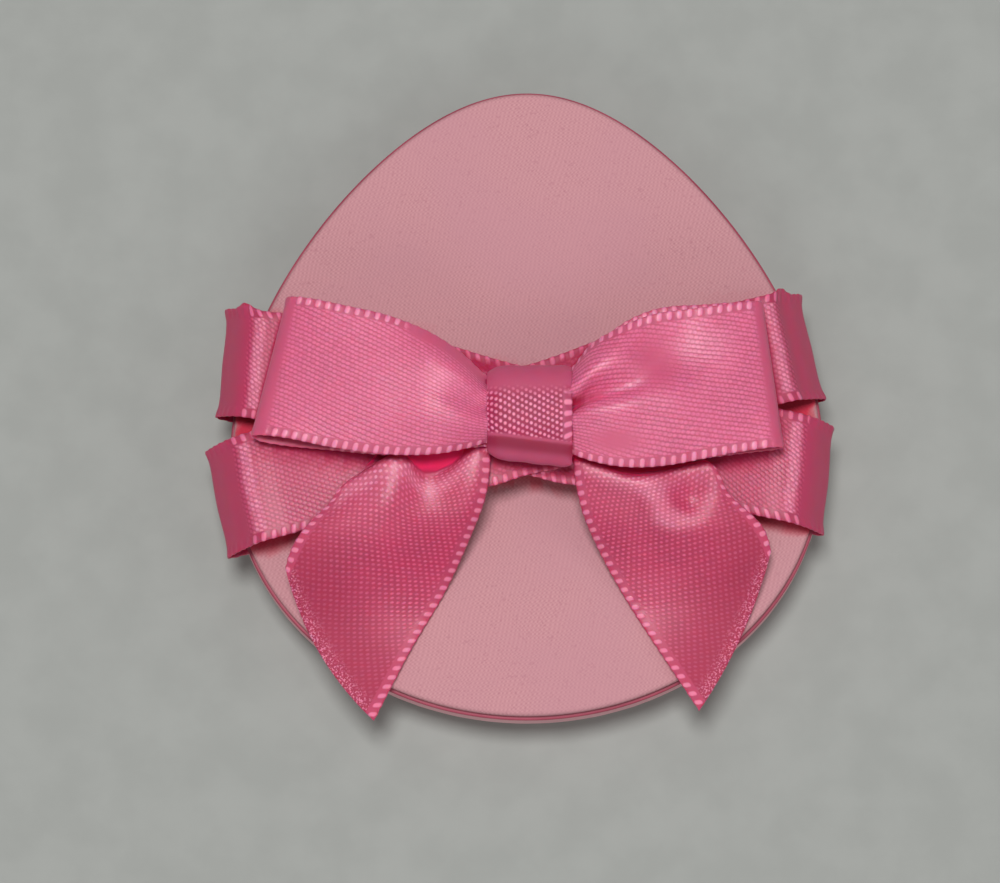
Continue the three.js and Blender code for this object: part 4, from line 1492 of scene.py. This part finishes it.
def open_weave(tree, place, floats, smoothness_and_painted_light, lively, ground, bright):
    """The cloth inside its selvages: floats on a clouded ground, smooth places, painted shade in deep places
    and painted glints.
    """
    cloud = noise(tree, place, 260, 3.0)
    yarn = noise(tree, place, 2400, 1.0)
    clouded = blend_colours(tree, fade(tree, cloud, 0.3, 0.7), ground, dimmed(ground, 0.86))
    shown = times(tree, floats, fade(tree, yarn, 0.3, 0.65, 0.62, 1.0))
    woven = blend_colours(tree, shown, clouded, bright)
    body = blend_colours(tree, lively, between(ground, bright, 0.2), woven)
    body = blend_colours(tree, fade(tree, smoothness_and_painted_light, 1.1, 2.0, 0.0, 0.9), body, PAINTED_FOLD_SHADE_COLOUR)
    strands = times(tree, floats, fade(tree, yarn, 0.4, 0.6, 0.2, 0.6))
    sparkle = fade(tree, smoothness_and_painted_light, 0.0, -0.8, 0.0, 1.0)
    return blend_colours(tree, times(tree, sparkle, plus(tree, strands, 0.3)), body, GLINT_COLOUR)


def raw_cut(tree, place, cut, body):
    """Darkens the cloth towards its cut and frays the last of it into pale ends."""
    body = blend_colours(tree, fade(tree, cut, 1.0, 12.0, 0.65, 0.0), body, CUT_COLOUR)
    ends = fade(tree, noise(tree, place, 5200), 0.53, 0.6)
    fray = times(tree, fade(tree, cut, 0.3, 2.0, 1.0, 0.0), ends)
    return blend_colours(tree, times(tree, fray, 0.75), body, FRAY_COLOUR)


# %% Satin finish
SCATTER_RADIUS = (1.0, 0.08, 0.16)
SCATTER_DEPTH = 0.45
SWAY = 0.16
WEAVE_DEPTH = 0.035
BAR_RISE = 1.3
CUT_DULLNESS = 0.3
SHELTER_DULLNESS = 0.5


def satin(name, rows, ground, bright, selvage_bar, bar_middle, bar_half, roughness, gloss,
          sheltered=(0.3, 0.7), painted_glow_when_calm=0.0):
    """Satin with its rows of floats, two colours, and the colour, place and half length of its bars.

    sheltered tells between which shares of hidden sky it gets a painted crimson glow of bounced
    light, and painted_glow_when_calm how much of that painted glow its smooth places get too.
    """
    material, tree, shader = new_finish(name, roughness, Specular_IOR_Level=gloss, Subsurface_Weight=1.0,
                                        Subsurface_Radius=SCATTER_RADIUS,
                                        Subsurface_Scale=SCATTER_DEPTH * MM)
    place = object_place(tree)
    uv = node(tree, "ShaderNodeUVMap", uv_map="ribbon").outputs["UV"]
    wobble = node(tree, "ShaderNodeTexNoise", {"Vector": place, "Scale": 420, "Detail": 1.0}).outputs["Color"]
    sway = vector_step(tree, "MULTIPLY", wobble, (SWAY, SWAY, 0))[0]
    floats = floats_in_rows(tree, vector_step(tree, "ADD", uv, sway)[0], **rows)
    edge, smoothness_and_painted_light, cut, shelter = [stored(tree, layer) for layer in ("from_edge", "smoothness_and_painted_light", "from_cut", "shelter")]
    lively = fade(tree, smoothness_and_painted_light, 0.0, 0.9, 1.0, 0.0)
    in_selvage = times(tree, fade(tree, edge, 0.85, 1.05, 1.0, 0.0), lively)
    bar = times(tree, picot_bars(tree, uv, edge, bar_middle, bar_half), in_selvage)

    body = raw_cut(tree, place, cut, open_weave(tree, place, floats, smoothness_and_painted_light, lively, ground, bright))
    selvage = blend_colours(tree, bar, dimmed(between(ground, bright, 0.2), 0.9), selvage_bar)
    open_satin = blend_colours(tree, in_selvage, body, selvage)
    if painted_glow_when_calm:
        shelter = step(tree, "MULTIPLY_ADD", fade(tree, smoothness_and_painted_light, 0.2, 0.9), painted_glow_when_calm, shelter)
    # Painted glow: where the measured shelter is high the base colour turns crimson, a painted shade standing
    # for light bounced between the satin layers.
    painted_glow = blend_colours(tree, fade(tree, shelter, 0.6, 0.95), PAINTED_GLOW_COLOUR, INNERMOST_PAINTED_GLOW_COLOUR)
    crimson = blend_colours(tree, fade(tree, shelter, *sheltered, 0.0, 0.95), open_satin, painted_glow)
    tree.links.new(crimson, shader.inputs["Base Color"])

    dull = plus(tree, fade(tree, cut, 3.0, 12.0, roughness + CUT_DULLNESS, roughness),
                fade(tree, shelter, *sheltered, 0.0, SHELTER_DULLNESS))
    tree.links.new(dull, shader.inputs["Roughness"])
    weave = times(tree, times(tree, floats, lively), minus(tree, 1.0, in_selvage))
    emboss(tree, shader, plus(tree, weave, times(tree, bar, BAR_RISE)), WEAVE_DEPTH, 0.6)
    return material


# %% Four weaves of satin
CORDS = dict(slant=-15, spacing=0.5, gap=0.44, shift=0.24, half_long=0.38, half_wide=0.23)
SHORT_CORDS = dict(slant=-34, spacing=0.5, gap=0.44, shift=0.24, half_long=0.3, half_wide=0.2)
DOTS = dict(slant=84, spacing=0.53, gap=0.471, shift=-0.355, half_long=0.21, half_wide=0.17)
KNOT_DOTS = dict(slant=62, spacing=0.5, gap=0.44, shift=0.25, half_long=0.22, half_wide=0.17)

# Painted light: the loops are the same ribbon as the tails, given a lighter ground and lighter floats
# because, lying flat, they catch more of the overhead light than the sloping tails.
loop_satin_painted_light = satin("loop_satin_painted_light", CORDS, colour(206, 80, 119), colour(234, 122, 162), colour(240, 142, 177),
                   bar_middle=0.40, bar_half=0.42, roughness=0.45, gloss=0.75)
band_satin = satin("band_satin", SHORT_CORDS, colour(186, 48, 92), colour(212, 84, 128),
                   colour(230, 118, 156), bar_middle=0.40, bar_half=0.42, roughness=0.46, gloss=0.7,
                   sheltered=(0.14, 0.58))
dot_satin = satin("dot_satin", DOTS, colour(198, 56, 99), colour(228, 104, 147), colour(232, 130, 164),
                  bar_middle=0.38, bar_half=0.32, roughness=0.44, gloss=0.65, painted_glow_when_calm=0.5)
knot_satin = satin("knot_satin", KNOT_DOTS, colour(176, 44, 88), colour(250, 158, 192), colour(240, 142, 175),
                   bar_middle=0.42, bar_half=0.42, roughness=0.5, gloss=0.25)
put_on(loop_satin_painted_light, loops)
put_on(band_satin, band_falling, band_rising)
put_on(dot_satin, tail_left, tail_right)
put_on(knot_satin, knot)
print("four weaves of satin on 6 pieces")

# %% [markdown]
# ## Cover, film, rim and the hidden layers
#
# The cover is plain weave: two sets of fine threads that run over and under each other, so its
# height is a product of two waves. The threads of a real cloth are uneven, so noise shifts both
# waves and fades them in places, and leaves a few dark specks. The film is almost smooth, with a
# leathery grain. The rim is the same film pressed hard and darker. The foam has open cells, and
# the hot-melt sheet a faint fibrous web.

# %% Cover finish
def threads(tree, place, degrees, pitch, unevenness):
    """A wave from -1 to 1 across threads that run at an angle, with a pitch in millimetres."""
    turn = math.radians(degrees)
    direction = (math.sin(turn) / pitch / MM, -math.cos(turn) / pitch / MM, 0)
    across = vector_step(tree, "DOT_PRODUCT", place, direction)["Value"]
    uneven = times(tree, noise(tree, place, unevenness, 2.0), 2.2)
    return step(tree, "SINE", times(tree, plus(tree, across, uneven), 2 * math.pi))


def woven_cloth():
    """Plain weave, with a painted crimson shade in the shelter of the bands and the bow."""
    material, tree, shader = new_finish("cover_cloth", 0.8, Specular_IOR_Level=0.2)
    place = object_place(tree)
    warp = threads(tree, place, 76, 0.42, 210)
    weft = threads(tree, place, 4, 0.38, 170)
    patch = fade(tree, noise(tree, place, 700, 2.0), 0.3, 0.65, 0.35, 1.0)
    weave = times(tree, times(tree, warp, weft), patch)
    speck = fade(tree, noise(tree, place, 2300, 2.0), 0.6, 0.72)
    cloud = noise(tree, place, 90, 2.0)
    tone = fade(tree, plus(tree, weave, times(tree, warp, 0.4)), -1.2, 1.2)
    cloth = blend_colours(tree, tone, colour(190, 132, 140), colour(206, 151, 156))
    cloth = blend_colours(tree, times(tree, speck, 0.35), cloth, colour(172, 112, 124))
    cloth = blend_colours(tree, fade(tree, cloud, 0.35, 0.7, 0.0, 0.4), cloth, colour(194, 138, 149))
    # Painted shade: the cover turns crimson where the bow and bands hide its sky, standing for red light
    # bounced off the satin into the shadow.
    sheltered = fade(tree, stored(tree, "shelter"), 0.25, 0.6, 0.0, 0.9)
    cloth = blend_colours(tree, sheltered, cloth, colour(206, 24, 64))
    tree.links.new(cloth, shader.inputs["Base Color"])
    emboss(tree, shader, weave, 0.025, 0.5)
    return material


put_on(woven_cloth(), cover)


# %% Film, rim, foam, hot melt, thread and glue
# roughness, colour, second shade, scale of the grain, depth of the grain in millimetres
GRAINED_FINISHES = {
    "soft_film": (0.6, (232, 174, 180), (224, 164, 172), 1800, 0.03),
    "pressed_edge": (0.5, (172, 70, 92), (156, 58, 80), 2400, 0.03),
    "hot_melt": (0.5, (240, 228, 224), (226, 212, 208), 900, 0.05),
    "set_glue": (0.35, (232, 226, 214), (222, 214, 200), 500, 0.06),
    "twisted_thread": (0.7, (207, 82, 136), (180, 62, 112), 3000, 0.05),
    "pale_table": (0.8, (160, 162, 158), (155, 157, 153), 60, 0.02),
}


def grained(name, **constants):
    """A finish with a soft cloud of a second shade and a fine grain."""
    roughness, base, second, grain_scale, grain_depth = GRAINED_FINISHES[name]
    material, tree, shader = new_finish(name, roughness, **constants)
    place = object_place(tree)
    cloud = fade(tree, noise(tree, place, 180, 3.0), 0.3, 0.7)
    tree.links.new(blend_colours(tree, cloud, colour(*base), colour(*second)), shader.inputs["Base Color"])
    emboss(tree, shader, noise(tree, place, grain_scale, 4.0, 0.6), grain_depth, 0.5)
    return material


def open_foam():
    """Foam whose cells are paler in their middles."""
    material, tree, shader = new_finish("open_cell_foam", 0.95)
    place = object_place(tree)
    cells = node(tree, "ShaderNodeTexVoronoi", {"Vector": place, "Scale": 2600}).outputs["Distance"]
    body = blend_colours(tree, fade(tree, cells, 0.1, 0.6), colour(214, 160, 168), colour(246, 220, 223))
    tree.links.new(body, shader.inputs["Base Color"])
    emboss(tree, shader, cells, 0.15, 0.8)
    return material


put_on(grained("soft_film"), cushion)
put_on(grained("pressed_edge"), rim)
put_on(grained("hot_melt"), glue_sheet)
put_on(grained("set_glue", Subsurface_Weight=0.2), glue)
put_on(grained("twisted_thread"), thread)
put_on(open_foam(), foam_slab)
print("grained finishes:", sorted(GRAINED_FINISHES))

# %% [markdown]
# ## The floor
#
# The puff lies on a plain pale table. A large plane is enough.

# %% Floor
FLOOR_SIZE = 6
FLOOR_DROP = 0.00002

clear_selection()
bpy.ops.mesh.primitive_plane_add(size=FLOOR_SIZE, location=(0, 0, -FLOOR_DROP))
table = bpy.context.active_object
table.name = "pale_table"
put_on(grained("pale_table"), table)
